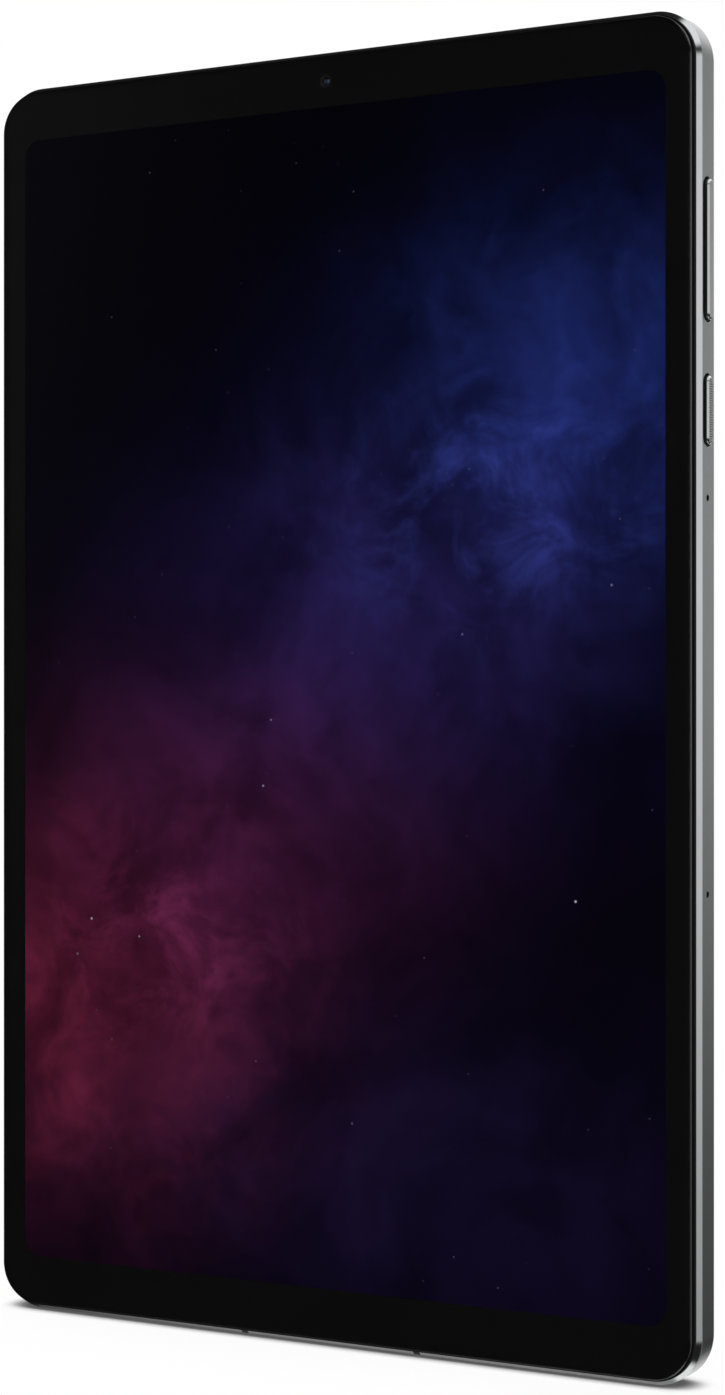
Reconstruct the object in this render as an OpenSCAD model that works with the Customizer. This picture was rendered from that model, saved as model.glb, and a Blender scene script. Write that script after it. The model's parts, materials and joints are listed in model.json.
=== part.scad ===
// Slim tablet computer with an 8.8 inch screen, standing upright on its bottom edge.
// Millimetres. +Z runs up the body, the screen faces -Y and +X is its right-hand side.
// The origin is the middle of the bottom edge.
// Every sub-part is drawn in the screen's own frame: x to the right, y up the screen and z
// out of the screen, with z = 0 half-way through the body. upright() then stands it up.

/* [Body] */
// Width across the screen
body_w = 129.5; // [129:0.1:130]
// Height up the screen
body_h = 208.5; // [208:0.1:210]
// Thickness without the camera island
body_t = 7.8; // [7.8:0.1:8.2]
// Radius of the four body corners
corner_r = 7.6; // [7:0.1:9]
// Thickness of the housing's side walls
wall_t = 1.6; // [1.5:0.05:1.7]
// Thickness of the housing's back
back_t = 1; // [0.8:0.05:1.1]
// Width of the polished chamfer round the front of the housing
chamfer = 0.67; // [0.5:0.01:0.8]
// Radius that rounds the back edge of the housing
back_round = 1.37; // [1.2:0.01:1.5]
// Depth of the housing's front rim below the glass
rim_drop = 1.47; // [1.4:0.01:1.5]

/* [Display] */
// Width of the lit picture
picture_w = 118.8; // [118:0.1:119]
// Height of the lit picture
picture_h = 190.4; // [189:0.1:191]
// Radius of the picture's corners
picture_r = 3; // [1:0.5:4]
// Thickness of the cover glass
glass_t = 0.75; // [0.7:0.01:0.8]
// Gap from the side of the body to the side of the glass
glass_inset = 0.98; // [0.9:0.01:1]

/* [Side keys] */
// Height of the middle of the volume key above the bottom edge
volume_y = 172.1; // [170:0.1:174]
// Length of the volume key's slot
volume_slot = 22; // [21:0.1:23]
// Height of the middle of the power key above the bottom edge
power_y = 147.8; // [147:0.1:149]
// Length of the power key's slot
power_slot = 11.1; // [11:0.1:12]
// Width of both key slots
slot_w = 3.6; // [3.4:0.1:3.7]
// Width of both keys
key_w = 2.1; // [1.9:0.1:2.2]
// Gap between a key and each end of its slot
key_end_gap = 0.35; // [0.3:0.05:0.5]
// Height of the keys above the side of the body
key_proud = 0.65; // [0.4:0.05:0.7]
// Heights of the two microphone holes above the bottom edge
mic_ys = [74.5, 134.5]; // [74:0.5:135]
// Diameter of a microphone hole
mic_d = 1; // [0.8:0.1:1.2]

/* [Ports] */
// Width of the charging socket's mouth
usb_w = 8.94; // [8.9:0.01:9]
// Thickness of the charging socket's mouth
usb_h = 3.16; // [3.1:0.01:3.2]
// Number of sound holes in each speaker grille
grille_holes = 10; // [6:1:10]
// Diameter of a sound hole
grille_d = 1.3; // [1:0.1:1.4]
// Height of the middle of the card tray above the bottom edge
tray_y = 165; // [164:0.5:166]
// Length of the card tray's outer face
tray_w = 14.8; // [14.6:0.1:15]

/* [Cameras] */
// Distance of the front camera from the top edge
front_camera_drop = 4.9; // [4.7:0.1:5.1]
// Width of the camera island
island_w = 20; // [19:0.5:20]
// Height of the camera island
island_h = 34; // [33:0.5:35]
// How far the camera island stands out of the back
island_proud = 1; // [0.8:0.1:1.2]

/* [Hidden] */

$fn = 48;
eps = 0.01;

// Levels through the body, along z
front_z = body_t / 2;
back_z = -body_t / 2;
glass_back_z = front_z - glass_t;
rim_z = front_z - rim_drop;
flat_top_z = rim_z - chamfer;
flat_bottom_z = back_z + back_round;
side_mid_z = (flat_top_z + flat_bottom_z) / 2;
floor_z = back_z + back_t;
mask_t = 0.05;
adhesive_back_z = glass_back_z - 0.1;
lcd_back_z = adhesive_back_z - 0.9;
backlight_back_z = lcd_back_z - 0.85;
frame_top_z = backlight_back_z - 0.05;
frame_back_z = frame_top_z - 0.6;
board_t = 0.8;
board_top_z = -1.2;
board_back_z = board_top_z - board_t;

// Outlines across the body
half_w = body_w / 2;
inner_x = half_w - wall_t;
fit = 0.15;
frame_inset = wall_t + fit;
frame_rim_t = 0.95;
ring_outer = 0.7;
ring_inner = frame_inset + 0.65;
lcd_w = picture_w + 3;
lcd_bottom_y = 4.5;
lcd_top_y = 201;

// Side keys: where their inner parts lie, measured in from the side of the body
key_clear = 0.15;
key_bevel = 0.27;
flange_out = 2;
flange_in = 2.45;
flange_over = 0.65;
peg_in = 3;
switch_top = 3.35;
flex_top = 3.85;
flex_t = 0.15;
bracket_t = 0.5;
bush_sunk = 0.45;
peg_r = 0.6;
volume_pegs = 7;
low_side = -0.9;
high_side = 0.85;

// Sockets, speakers and the haptic motor
usb_mouth_y = 0.4;
usb_depth = 7.3;
usb_wall = 0.25;
usb_gap = 0.15;
tongue_size = [6.7, 6, 0.7];
speaker_x = 36;
speaker_w = 28;
speaker_l = 17.6;
speaker_t = 3;
diaphragm_r = 6;
grille_pitch = 2.5;
mesh_t = 0.3;
haptic_at = [-50, 14];
haptic_size = [12, 12, 3];
haptic_wall = 0.3;

// Card tray
tray_clear = 0.12;
tray_face_h = 2.5;
tray_face_t = 1.1;
tray_bed = [17, 12.6, 1];
card_w = 11;
card_l = 15;
pin_d = 0.9;
pin_y = tray_y + tray_w / 2 - 2;
cage_l = 19;
cage_t = 0.3;
contact_pitch = 1.1;

// Cameras
front_camera_y = body_h - front_camera_drop;
island_at = [47, body_h - 22.5];
main_lens_y = island_at[1] + 7.5;
macro_lens_y = island_at[1] - 5;
flash_y = island_at[1] - 12;
main_window_r = 4.6;
macro_window_r = 2.6;
flash_r = 1.9;
barrel_r = 3.2;
macro_r = 1.9;
main_camera_w = 10.6;
macro_camera_w = 6.6;
sensor_x = 9;
sensor_r = 1;
sensor_hole_r = 0.8;
front_barrel_r = 1.75;
camera_hole_r = 1.05;
window_t = 0.3;
window_depth = 0.6;
ring_w = 0.7;
ring_proud = 0.2;
island_z = back_z - island_proud;

// Antenna inserts
insert_x = 16;
insert_w = 1.2;
insert_reach = 9;

// Screws
screw_r = 0.6;
screw_head_r = 1.2;
screw_head_t = 0.4;
boss_r = 1.7;
screw_places = [[-57, 5], [-9, 5.5], [9, 5.5], [57, 5], [-59.6, 26.5], [59.6, 26.5],
    [-59.6, 143], [57, 142.5], [-59.6, 180], [-57, body_h - 5], [20, body_h - 5],
    [57, body_h - 5]];

// Battery cells and the boards round them
cell_size = [53, 108, 2.7];
cell_x = 29.5;
cell_y = 84;
cell_back_z = floor_z + 0.3;
tape_w = 10;
tape_l = 100;
tape_x = 12;
battery_board_y = cell_y + cell_size[1] / 2 + 1;
battery_board_half = 32;
battery_plug_x = -20;
board_x0 = -56;
board_x1 = 34;
board_y0 = 150;
board_y1 = 187.5;
shield_y0 = 157;
shield_y1 = 186;
shield_x = [-38, -6, -3, 31];
chip_h = 0.5;
usb_board_x0 = -41;
usb_board_x1 = 19;
usb_board_y0 = 8.2;
usb_board_y1 = 25;

// Cables: the flat cable runs up between the cells and the round one beside the left cell
connector_h = 0.6;
main_flex_w = 3.2;
coax_x = -57;
coax_r = 0.4;
display_flex_x = -28;
display_flex_w = 28;

// ---------- helpers ----------

// Stands the screen's frame up in the row frame
module upright() {
    rotate([90, 0, 0]) children();
}

// A block between two corners
module block(low, high) {
    translate(low) cube(high - low);
}

// A rectangle with round corners, centred
module rounded_rect(w, h, r) {
    square([w - 2 * r, h], center = true);
    square([w, h - 2 * r], center = true);
    for (sx = [-1, 1], sy = [-1, 1])
        translate([sx * (w / 2 - r), sy * (h / 2 - r)]) circle(r = r);
}

// A flat plate with the body's outline, set in by inset, between two levels
module body_plate(inset, z0, z1) {
    translate([0, body_h / 2, z0]) linear_extrude(z1 - z0)
        rounded_rect(body_w - 2 * inset, body_h - 2 * inset, corner_r - inset);
}

// Carries a profile round the body's outline: x is outwards from the side, y is along z
module edge_sweep() {
    for (k = [0:3]) {
        half_k = k % 2 == 0 ? body_w / 2 : body_h / 2;
        half_next = k % 2 == 0 ? body_h / 2 : body_w / 2;
        run = 2 * (half_next - corner_r);
        translate([0, body_h / 2, 0]) rotate([0, 0, k * 90]) {
            translate([half_k, run / 2, 0]) rotate([90, 0, 0]) linear_extrude(run) children();
            translate([half_k - corner_r, half_next - corner_r, 0])
                rotate_extrude(angle = 90) translate([corner_r, 0]) children();
        }
    }
}

// A band of the edge profile between two insets and two levels
module edge_band(outer, inner, z0, z1) {
    edge_sweep() translate([-inner, z0]) square([inner - outer, z1 - z0]);
}

// A bar with half-round ends, lying across x, from x0 to x1, centred at [y, z]
module side_bar(x0, x1, y, z, length, width) {
    translate([x0, y, z]) rotate([90, 0, 90]) linear_extrude(x1 - x0) {
        square([length - width, width], center = true);
        for (s = [-1, 1]) translate([s * (length - width) / 2, 0]) circle(d = width);
    }
}

// The same bar tapering to a smaller face over its height, as a chamfered key top
module side_bevel(x0, y, z, length, width, bevel) {
    run = length - width;
    translate([x0, y, z]) {
        for (s = [-1, 1]) translate([0, s * run / 2, 0]) rotate([0, 90, 0])
            cylinder(h = bevel, d1 = width, d2 = width - 2 * bevel);
        translate([0, run / 2, 0]) rotate([90, 0, 0]) linear_extrude(run)
            polygon([[0, -width / 2], [bevel, bevel - width / 2],
                [bevel, width / 2 - bevel], [0, width / 2]]);
    }
}

// A bar with half-round ends, standing along y, as the charging socket's mouth
module port_bar(y0, y1, x, z, width, height) {
    translate([x, y1, z]) rotate([90, 0, 0]) linear_extrude(y1 - y0) {
        square([width - height, height], center = true);
        for (s = [-1, 1]) translate([s * (width - height) / 2, 0]) circle(d = height);
    }
}

// A round plug along z
module post(x, y, z0, z1, r) {
    translate([x, y, z0]) cylinder(h = z1 - z0, r = r);
}

// A row of sound holes through the bottom or top wall
module grille(y0, y1) {
    for (k = [0:grille_holes - 1])
        translate([(k - (grille_holes - 1) / 2) * grille_pitch, y1, side_mid_z])
            rotate([90, 0, 0]) cylinder(h = y1 - y0, d = grille_d);
}

// ---------- housing and frame ----------

// The solid skin of the housing before any cut
module housing_skin() {
    edge_sweep() {
        polygon([[-wall_t, floor_z], [-wall_t, rim_z], [-chamfer, rim_z], [0, flat_top_z],
            [0, flat_bottom_z], [-back_round, flat_bottom_z], [-back_round, floor_z]]);
        intersection() {
            translate([-back_round, flat_bottom_z]) circle(r = back_round);
            translate([-back_round, back_z - eps]) square([back_round + eps, back_round + eps]);
        }
        polygon([[-wall_t, back_z], [-back_round, back_z], [-back_round, flat_bottom_z],
            [-wall_t, flat_bottom_z]]);
    }
    body_plate(wall_t, back_z, floor_z);
}

// The space of the two antenna inserts: slots through the top and bottom walls that run on
// as a groove in the back
module antenna_slots() {
    half_slot = insert_w / 2;
    groove_z = back_z + back_t / 2;
    for (flip = [0, 1])
        translate([0, flip * body_h, 0]) mirror([0, flip, 0]) {
            for (s = [-1, 1]) {
                block([s * insert_x - half_slot, -1, back_z - 1],
                    [s * insert_x + half_slot, wall_t, rim_z + 1]);
                block([s * insert_x - half_slot, wall_t - eps, back_z - 1],
                    [s * insert_x + half_slot, insert_reach, groove_z]);
            }
            block([-insert_x, insert_reach - insert_w, back_z - 1],
                [insert_x, insert_reach, groove_z]);
        }
}

module housing_cuts() {
    side_bar(inner_x - 1, half_w + 1, volume_y, side_mid_z, volume_slot, slot_w);
    side_bar(inner_x - 1, half_w + 1, power_y, side_mid_z, power_slot, slot_w);
    for (y = mic_ys) translate([inner_x - 1, y, side_mid_z]) rotate([0, 90, 0])
        cylinder(h = wall_t + 2, d = mic_d);
    side_bar(-half_w - 1, 1 - inner_x, tray_y, side_mid_z,
        tray_w + 2 * tray_clear, tray_face_h + 2 * tray_clear);
    port_bar(-1, wall_t + 1, 0, side_mid_z, usb_w + 2 * usb_gap, usb_h + 2 * usb_gap);
    translate([speaker_x, 0, 0]) grille(-1, wall_t + 1);
    translate([-speaker_x, 0, 0]) grille(body_h - wall_t - 1, body_h + 1);
    post(island_at[0], main_lens_y, back_z - 1, floor_z + 1, main_window_r);
    post(island_at[0], macro_lens_y, back_z - 1, floor_z + 1, macro_window_r);
    post(island_at[0], flash_y, back_z - 1, floor_z + 1, flash_r);
}

module rear_housing() {
    upright() color("dimgray") difference() {
        union() {
            difference() {
                housing_skin();
                antenna_slots();
                housing_cuts();
            }
            for (p = screw_places) post(p[0], p[1], floor_z - eps, frame_back_z, boss_r);
        }
        for (p = screw_places) post(p[0], p[1], floor_z + 0.7, frame_back_z + 1, screw_r + 0.05);
    }
}

module antenna_inserts() {
    upright() color("darkslategray") intersection() {
        housing_skin();
        antenna_slots();
    }
}

module trim_ring() {
    upright() color("black") {
        edge_band(ring_outer, ring_inner, rim_z, glass_back_z - mask_t);
    }
}

module mid_frame() {
    rim_in = -frame_inset - frame_rim_t;
    upright() color("silver") difference() {
        union() {
            edge_sweep() polygon([[rim_in - 1, frame_back_z], [-frame_inset, frame_back_z],
                [-frame_inset, rim_z], [rim_in, rim_z], [rim_in, frame_top_z],
                [rim_in - 1, frame_top_z]]);
            body_plate(1 - rim_in, frame_back_z, frame_top_z);
        }
        // room for the side keys
        block([half_w - 5.5, power_y - 8, frame_back_z - 1], [half_w, volume_y + 13.5, rim_z + 1]);
        // room for the charging socket
        block([-6, 0, frame_back_z - 1], [6, 9, 1.35]);
        // slot for the display's flex
        block([display_flex_x - display_flex_w / 2 - 0.5, 3.2, frame_back_z - 1],
            [display_flex_x + display_flex_w / 2 + 0.5, 4.2, frame_top_z + 1]);
        // front camera and light sensor
        post(0, front_camera_y, frame_back_z - 1, frame_top_z + 1, front_barrel_r + 0.25);
        post(sensor_x, front_camera_y, frame_back_z - 1, frame_top_z + 1, sensor_r + 0.3);
        // countersunk screw heads
        for (p = screw_places) {
            post(p[0], p[1], frame_back_z - 1, frame_top_z + 1, screw_r + 0.1);
            post(p[0], p[1], frame_top_z - screw_head_t - 0.05, frame_top_z + 1,
                screw_head_r + 0.1);
        }
    }
}

module screws() {
    upright() color("silver") for (p = screw_places) difference() {
        union() {
            post(p[0], p[1], floor_z + 1, frame_top_z - screw_head_t, screw_r);
            post(p[0], p[1], frame_top_z - screw_head_t - 0.05, frame_top_z - 0.05, screw_head_r);
        }
        translate([p[0], p[1], frame_top_z - 0.2]) for (a = [0, 90]) rotate([0, 0, a])
            cube([1.4, 0.3, 0.4], center = true);
    }
}

// ---------- display ----------

// The glass has a rounded-over edge, so its profile steps down in an arc
module cover_glass() {
    round_w = 0.6;
    round_h = 0.5;
    band = 4;
    upright() color("black") {
        body_plate(glass_inset + band, glass_back_z, front_z);
        edge_sweep() translate([-glass_inset, 0])
            polygon([[-band, glass_back_z], [0, glass_back_z], [0, front_z - round_h],
                [-0.1 * round_w, front_z - 0.6 * round_h],
                [-0.38 * round_w, front_z - 0.16 * round_h], [-round_w, front_z],
                [-band, front_z]]);
    }
}

// The opaque border behind the glass, open over the picture, the camera and the light sensor
module bezel_mask() {
    upright() color("black") difference() {
        body_plate(1, glass_back_z - mask_t, glass_back_z);
        translate([0, body_h / 2, glass_back_z - 1]) linear_extrude(2)
            rounded_rect(picture_w, picture_h, picture_r);
        post(0, front_camera_y, glass_back_z - 1, glass_back_z + 1, camera_hole_r);
        post(sensor_x, front_camera_y, glass_back_z - 1, glass_back_z + 1, sensor_hole_r);
    }
}

module optical_adhesive() {
    upright() color("white") {
        block([-lcd_w / 2 + 0.5, lcd_bottom_y + 0.5, adhesive_back_z],
            [lcd_w / 2 - 0.5, lcd_top_y - 0.5, glass_back_z - mask_t]);
        translate([0, body_h / 2, adhesive_back_z]) linear_extrude(glass_back_z - adhesive_back_z)
            rounded_rect(picture_w - 0.1, picture_h - 0.1, picture_r);
    }
}

module lcd_panel() {
    upright() color("midnightblue")
        block([-lcd_w / 2, lcd_bottom_y, lcd_back_z], [lcd_w / 2, lcd_top_y, adhesive_back_z]);
}

// The light guide stack, hollow along its bottom end for the row of lamps
module backlight_unit() {
    half = lcd_w / 2;
    wall = 0.1;
    upright() color("white") difference() {
        block([0.4 - half, lcd_bottom_y + wall, backlight_back_z],
            [half - 0.4, lcd_top_y - 0.4, lcd_back_z]);
        block([1 - half, lcd_bottom_y + 0.4, backlight_back_z + wall],
            [half - 1, lcd_bottom_y + 3, lcd_back_z - wall]);
    }
}

// A strip with a row of small lamps that shine up into the light guide
module backlight_leds() {
    count = 24;
    first_x = 4 - lcd_w / 2;
    pitch = -2 * first_x / (count - 1);
    half_lamp = 1;
    strip_z = backlight_back_z + 0.15;
    upright() color("gold") {
        block([1.2 - lcd_w / 2, lcd_bottom_y + 0.5, strip_z],
            [lcd_w / 2 - 1.2, lcd_bottom_y + 2.8, strip_z + 0.15]);
        for (k = [0:count - 1])
            block([first_x + k * pitch - half_lamp, lcd_bottom_y + 1.2, strip_z + 0.1],
                [first_x + k * pitch + half_lamp, lcd_bottom_y + 2.4, strip_z + 0.55]);
    }
}

// The flex leaves the bottom of the panel, turns behind the frame and ends in a connector
module display_flex() {
    x0 = display_flex_x - display_flex_w / 2;
    x1 = display_flex_x + display_flex_w / 2;
    y0 = 3.6;
    end_y = 21;
    head_z = lcd_back_z + 0.5;
    tail_z = frame_back_z - 0.25;
    upright() color("orange") {
        block([x0, y0, head_z - flex_t], [x1, lcd_bottom_y, head_z]);
        block([x0, y0, tail_z], [x1, y0 + flex_t, head_z]);
        block([x0, y0, tail_z], [x1, end_y, tail_z + flex_t]);
        block([display_flex_x - 5, end_y - 3, board_top_z],
            [display_flex_x + 5, end_y - 0.5, tail_z + eps]);
    }
}

// ---------- battery ----------

module battery_cell(x) {
    translate([x, cell_y, cell_back_z]) {
        linear_extrude(cell_size[2]) rounded_rect(cell_size[0], cell_size[1], 1.5);
        // folded seam of the pouch along its top end
        translate([-cell_size[0] / 2 + 3, cell_size[1] / 2 - 0.5, 0.9])
            cube([cell_size[0] - 6, 1, 0.6]);
    }
}

module battery_left() {
    upright() color("dimgray") battery_cell(-cell_x);
}

module battery_right() {
    upright() color("dimgray") battery_cell(cell_x);
}

// Protection board across the top of both cells, with its plug to the main board
module battery_board() {
    y0 = battery_board_y;
    plug = [battery_plug_x - 4, battery_plug_x + 4];
    plug_y = board_y0 + 3;
    upright() color("darkgreen") {
        block([-battery_board_half, y0, board_back_z], [battery_board_half, y0 + 4, board_top_z]);
        for (x = [-26:14:16])
            block([x, y0 + 0.8, board_top_z - eps], [x + 4, y0 + 3.2, board_top_z + chip_h]);
        block([plug[0], y0 + 4 - eps, board_top_z - 0.2], [plug[1], plug_y, board_top_z]);
        block([plug[0], board_y0 - 0.5, board_top_z - 0.2],
            [plug[1], plug_y, board_top_z + connector_h]);
    }
}

// Two stretch tapes under each cell
module battery_tape() {
    upright() color("white") for (s = [-1, 1], k = [-1, 1])
        translate([s * cell_x + k * tape_x - tape_w / 2, cell_y - tape_l / 2, cell_back_z - 0.2])
            cube([tape_w, tape_l, 0.2]);
}

module graphite_sheet() {
    upright() color("black") translate([-8, 108, floor_z]) linear_extrude(0.1)
        rounded_rect(84, 150, 2);
}

// ---------- boards ----------

// A chip on top of a board
module chip(x, y, w, l, h = chip_h) {
    block([x, y, board_top_z - eps], [x + w, y + l, board_top_z + h]);
}

module main_board() {
    upright() color("darkgreen") difference() {
        union() {
            block([board_x0, board_y0, board_back_z], [board_x1, board_y1, board_top_z]);
            block([-18, board_y1 - eps, board_back_z], [16, board_y1 + 10, board_top_z]);
            for (x = [-52:5:-42], y = [176, 181]) chip(x, y, 3, 2);
            for (x = [18:3:30]) chip(x, board_y0 + 2.5, 1.6, 0.8);
        }
        // notch for the battery's plug
        block([battery_plug_x - 4.3, board_y0 - 1, board_back_z - 1],
            [battery_plug_x + 4.3, board_y0 + 3.3, board_top_z + 1]);
    }
}

// A folded metal can over part of the board
module shield(x0, y0, x1, y1) {
    wall = 0.15;
    top_z = frame_back_z - 0.4;
    difference() {
        block([x0, y0, board_top_z], [x1, y1, top_z]);
        block([x0 + wall, y0 + wall, board_top_z - 1], [x1 - wall, y1 - wall, top_z - wall]);
    }
}

module soc_shield() {
    upright() color("silver") shield(shield_x[0], shield_y0, shield_x[1], shield_y1);
}

module power_shield() {
    upright() color("silver") shield(shield_x[2], shield_y0, shield_x[3], shield_y1);
}

// A thin copper plate that carries heat from the shields down over the cells
module heat_spreader() {
    upright() color("peru") block([shield_x[0], 116, frame_back_z - 0.35],
        [shield_x[3], shield_y1, frame_back_z - 0.05]);
}

module usb_board() {
    upright() color("darkgreen") difference() {
        union() {
            block([usb_board_x0, usb_board_y0, board_back_z],
                [usb_board_x1, usb_board_y1, board_top_z]);
            // arm that reaches the round cable, above the haptic motor
            block([coax_x - 0.5, usb_board_y1 - 3.5, board_back_z],
                [usb_board_x0 + eps, usb_board_y1, board_top_z]);
            for (x = [6:3.2:16]) chip(x, 14, 1.6, 1);
            chip(10, 17.5, 5, 5, 0.8);
        }
        // notch for the back of the socket
        block([-5, usb_board_y0 - 1, board_back_z - 1], [5, usb_board_y0 + 0.7, board_top_z + 1]);
    }
}

module usb_shell() {
    upright() color("gray") difference() {
        port_bar(usb_mouth_y, usb_mouth_y + usb_depth, 0, side_mid_z, usb_w, usb_h);
        port_bar(usb_mouth_y - 1, usb_mouth_y + usb_depth - usb_wall, 0, side_mid_z,
            usb_w - 2 * usb_wall, usb_h - 2 * usb_wall);
    }
}

// The contact tongue and the block at the back of the socket that holds it
module usb_tongue() {
    back = usb_mouth_y + usb_depth - usb_wall;
    half_x = tongue_size[0] / 2;
    half_t = tongue_size[2] / 2;
    upright() color("black") {
        block([-half_x, back - tongue_size[1], side_mid_z - half_t],
            [half_x, back, side_mid_z + half_t]);
        block([-half_x, back - 1.2, side_mid_z - 1], [half_x, back, side_mid_z + 1]);
    }
}

// Flat cable between the cells, from the bottom board to the main board
module main_flex() {
    ends_y = [usb_board_y1 - 3.4, board_y0];
    strip_z = board_top_z + connector_h;
    half = main_flex_w / 2;
    upright() color("orange") {
        block([-half, ends_y[0], strip_z - eps], [half, ends_y[1] + 3, strip_z + flex_t]);
        for (y = ends_y)
            block([-half - connector_h, y, board_top_z], [half + connector_h, y + 3, strip_z]);
    }
}

// Round aerial cable, from the bottom board to the main board
module coax_cable() {
    ends_y = [usb_board_y1 - 2, board_y0 + 1];
    z = board_top_z + coax_r;
    upright() color("black") {
        translate([coax_x, ends_y[1] + 1, z]) rotate([90, 0, 0])
            cylinder(h = ends_y[1] - ends_y[0], r = coax_r);
        for (y = ends_y)
            block([coax_x - 0.5, y - 0.5, board_top_z], [board_x0 + 1.5, y + 1.5, z + 0.6]);
    }
}

// ---------- sound and haptics ----------

module speaker_box() {
    difference() {
        translate([0, wall_t + mesh_t + 0.1 + speaker_l / 2, floor_z + 0.1])
            linear_extrude(speaker_t) rounded_rect(speaker_w, speaker_l, 1);
        // round recess over the diaphragm
        post(0, 12.5, floor_z + speaker_t - 0.4, floor_z + speaker_t + 1, diaphragm_r);
        // sound channel towards the grille
        block([1 - speaker_w / 2, 0, side_mid_z - grille_d / 2],
            [speaker_w / 2 - 1, 4.5, side_mid_z + grille_d / 2]);
    }
}

module speaker_bottom() {
    upright() color("black") translate([speaker_x, 0, 0]) speaker_box();
}

module speaker_top() {
    upright() color("black") translate([-speaker_x, body_h, 0]) mirror([0, 1, 0]) speaker_box();
}

module speaker_meshes() {
    upright() color("black") for (flip = [0, 1])
        translate([speaker_x * (1 - 2 * flip), flip * body_h, 0]) mirror([0, flip, 0])
            block([-speaker_w / 2 + 0.5, wall_t, side_mid_z - 0.9],
                [speaker_w / 2 - 0.5, wall_t + mesh_t, side_mid_z + 0.85]);
}

module haptic_case() {
    wall = haptic_wall;
    size = haptic_size;
    upright() color("silver") translate([haptic_at[0], haptic_at[1], floor_z + 0.1])
        difference() {
            linear_extrude(size[2]) rounded_rect(size[0], size[1], 1);
            translate([0, 0, wall]) linear_extrude(size[2] - 2 * wall)
                rounded_rect(size[0] - 2 * wall, size[1] - 2 * wall, 0.7);
        }
}

module haptic_coil() {
    upright() color("peru") translate([haptic_at[0], haptic_at[1], floor_z + 0.1 + haptic_wall])
        difference() {
            linear_extrude(0.5) rounded_rect(8, 6, 2);
            translate([0, 0, -1]) linear_extrude(3) rounded_rect(4.6, 2.6, 1);
        }
}

// The weight that slides from side to side inside the case
module haptic_mass() {
    upright() color("dimgray") translate([haptic_at[0], haptic_at[1], floor_z + 1.05])
        linear_extrude(1.55) rounded_rect(9.6, 10.2, 0.8);
}

// ---------- cameras ----------

module front_camera() {
    upright() color("black") {
        block([-3.4, front_camera_y - 3.6, floor_z + 0.2],
            [3.4, front_camera_y + 2.6, frame_back_z - 0.1]);
        post(0, front_camera_y, frame_back_z - 0.2, glass_back_z - 0.1, front_barrel_r);
    }
}

module light_sensor() {
    upright() color("dimgray") {
        block([sensor_x - 1.4, front_camera_y - 1.6, frame_back_z - 0.9],
            [sensor_x + 1.4, front_camera_y + 1.6, frame_back_z - 0.1]);
        post(sensor_x, front_camera_y, frame_back_z - 0.2, glass_back_z - 0.15, sensor_r);
    }
}

module rear_camera() {
    half = main_camera_w / 2;
    upright() color("black") difference() {
        block([island_at[0] - half, main_lens_y - half, floor_z + 0.1],
            [island_at[0] + half, main_lens_y + half, frame_back_z - 0.1]);
        post(island_at[0], main_lens_y, floor_z - 1, floor_z + 2.5, barrel_r + 0.3);
    }
}

// The lens group that moves to focus
module focus_barrel() {
    upright() color("dimgray") difference() {
        post(island_at[0], main_lens_y, back_z - 0.2, floor_z + 2, barrel_r);
        post(island_at[0], main_lens_y, back_z - 1, back_z + 0.3, barrel_r - 0.8);
    }
}

module macro_camera() {
    half = macro_camera_w / 2;
    upright() color("black") {
        block([island_at[0] - half, macro_lens_y - half, floor_z + 0.1],
            [island_at[0] + half, macro_lens_y + half, frame_back_z - 0.4]);
        post(island_at[0], macro_lens_y, back_z - 0.2, floor_z + 0.2, macro_r);
    }
}

module camera_island() {
    upright() color("dimgray") difference() {
        union() {
            translate([island_at[0], island_at[1], island_z + 0.3])
                linear_extrude(island_proud - 0.3) rounded_rect(island_w, island_h, 5);
            translate([island_at[0], island_at[1], island_z])
                linear_extrude(island_proud) rounded_rect(island_w - 0.6, island_h - 0.6, 4.7);
        }
        post(island_at[0], main_lens_y, island_z - 1, back_z + 1, main_window_r + ring_w);
        post(island_at[0], macro_lens_y, island_z - 1, back_z + 1, macro_window_r + ring_w);
        post(island_at[0], flash_y, island_z - 1, back_z + 1, flash_r + 0.05);
    }
}

// Metal rings that stand a little out of the island and hold the windows
module lens_ring(y, window_r) {
    difference() {
        post(island_at[0], y, island_z - ring_proud, back_z, window_r + ring_w - 0.03);
        post(island_at[0], y, island_z - 1, back_z - window_depth, window_r);
        post(island_at[0], y, back_z - 2, back_z + 1, window_r - 0.6);
    }
}

module lens_rings() {
    upright() color("silver") {
        lens_ring(main_lens_y, main_window_r);
        lens_ring(macro_lens_y, macro_window_r);
    }
}

module camera_window(y, window_r) {
    post(island_at[0], y, back_z - window_depth - window_t, back_z - window_depth,
        window_r - 0.03);
}

module camera_windows() {
    upright() color("black") {
        camera_window(main_lens_y, main_window_r);
        camera_window(macro_lens_y, macro_window_r);
    }
}

module flash_led() {
    board = 2.6;
    upright() color("gold") {
        block([island_at[0] - board, flash_y - board, floor_z + 0.1],
            [island_at[0] + board, flash_y + board, floor_z + 0.6]);
        block([island_at[0] - 1, flash_y - 1, floor_z - 0.5],
            [island_at[0] + 1, flash_y + 1, floor_z + 0.2]);
    }
}

module flash_lens() {
    upright() color("white")
        post(island_at[0], flash_y, island_z + 0.1, back_z + 0.3, flash_r - 0.03);
}

// ---------- side keys ----------

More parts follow.
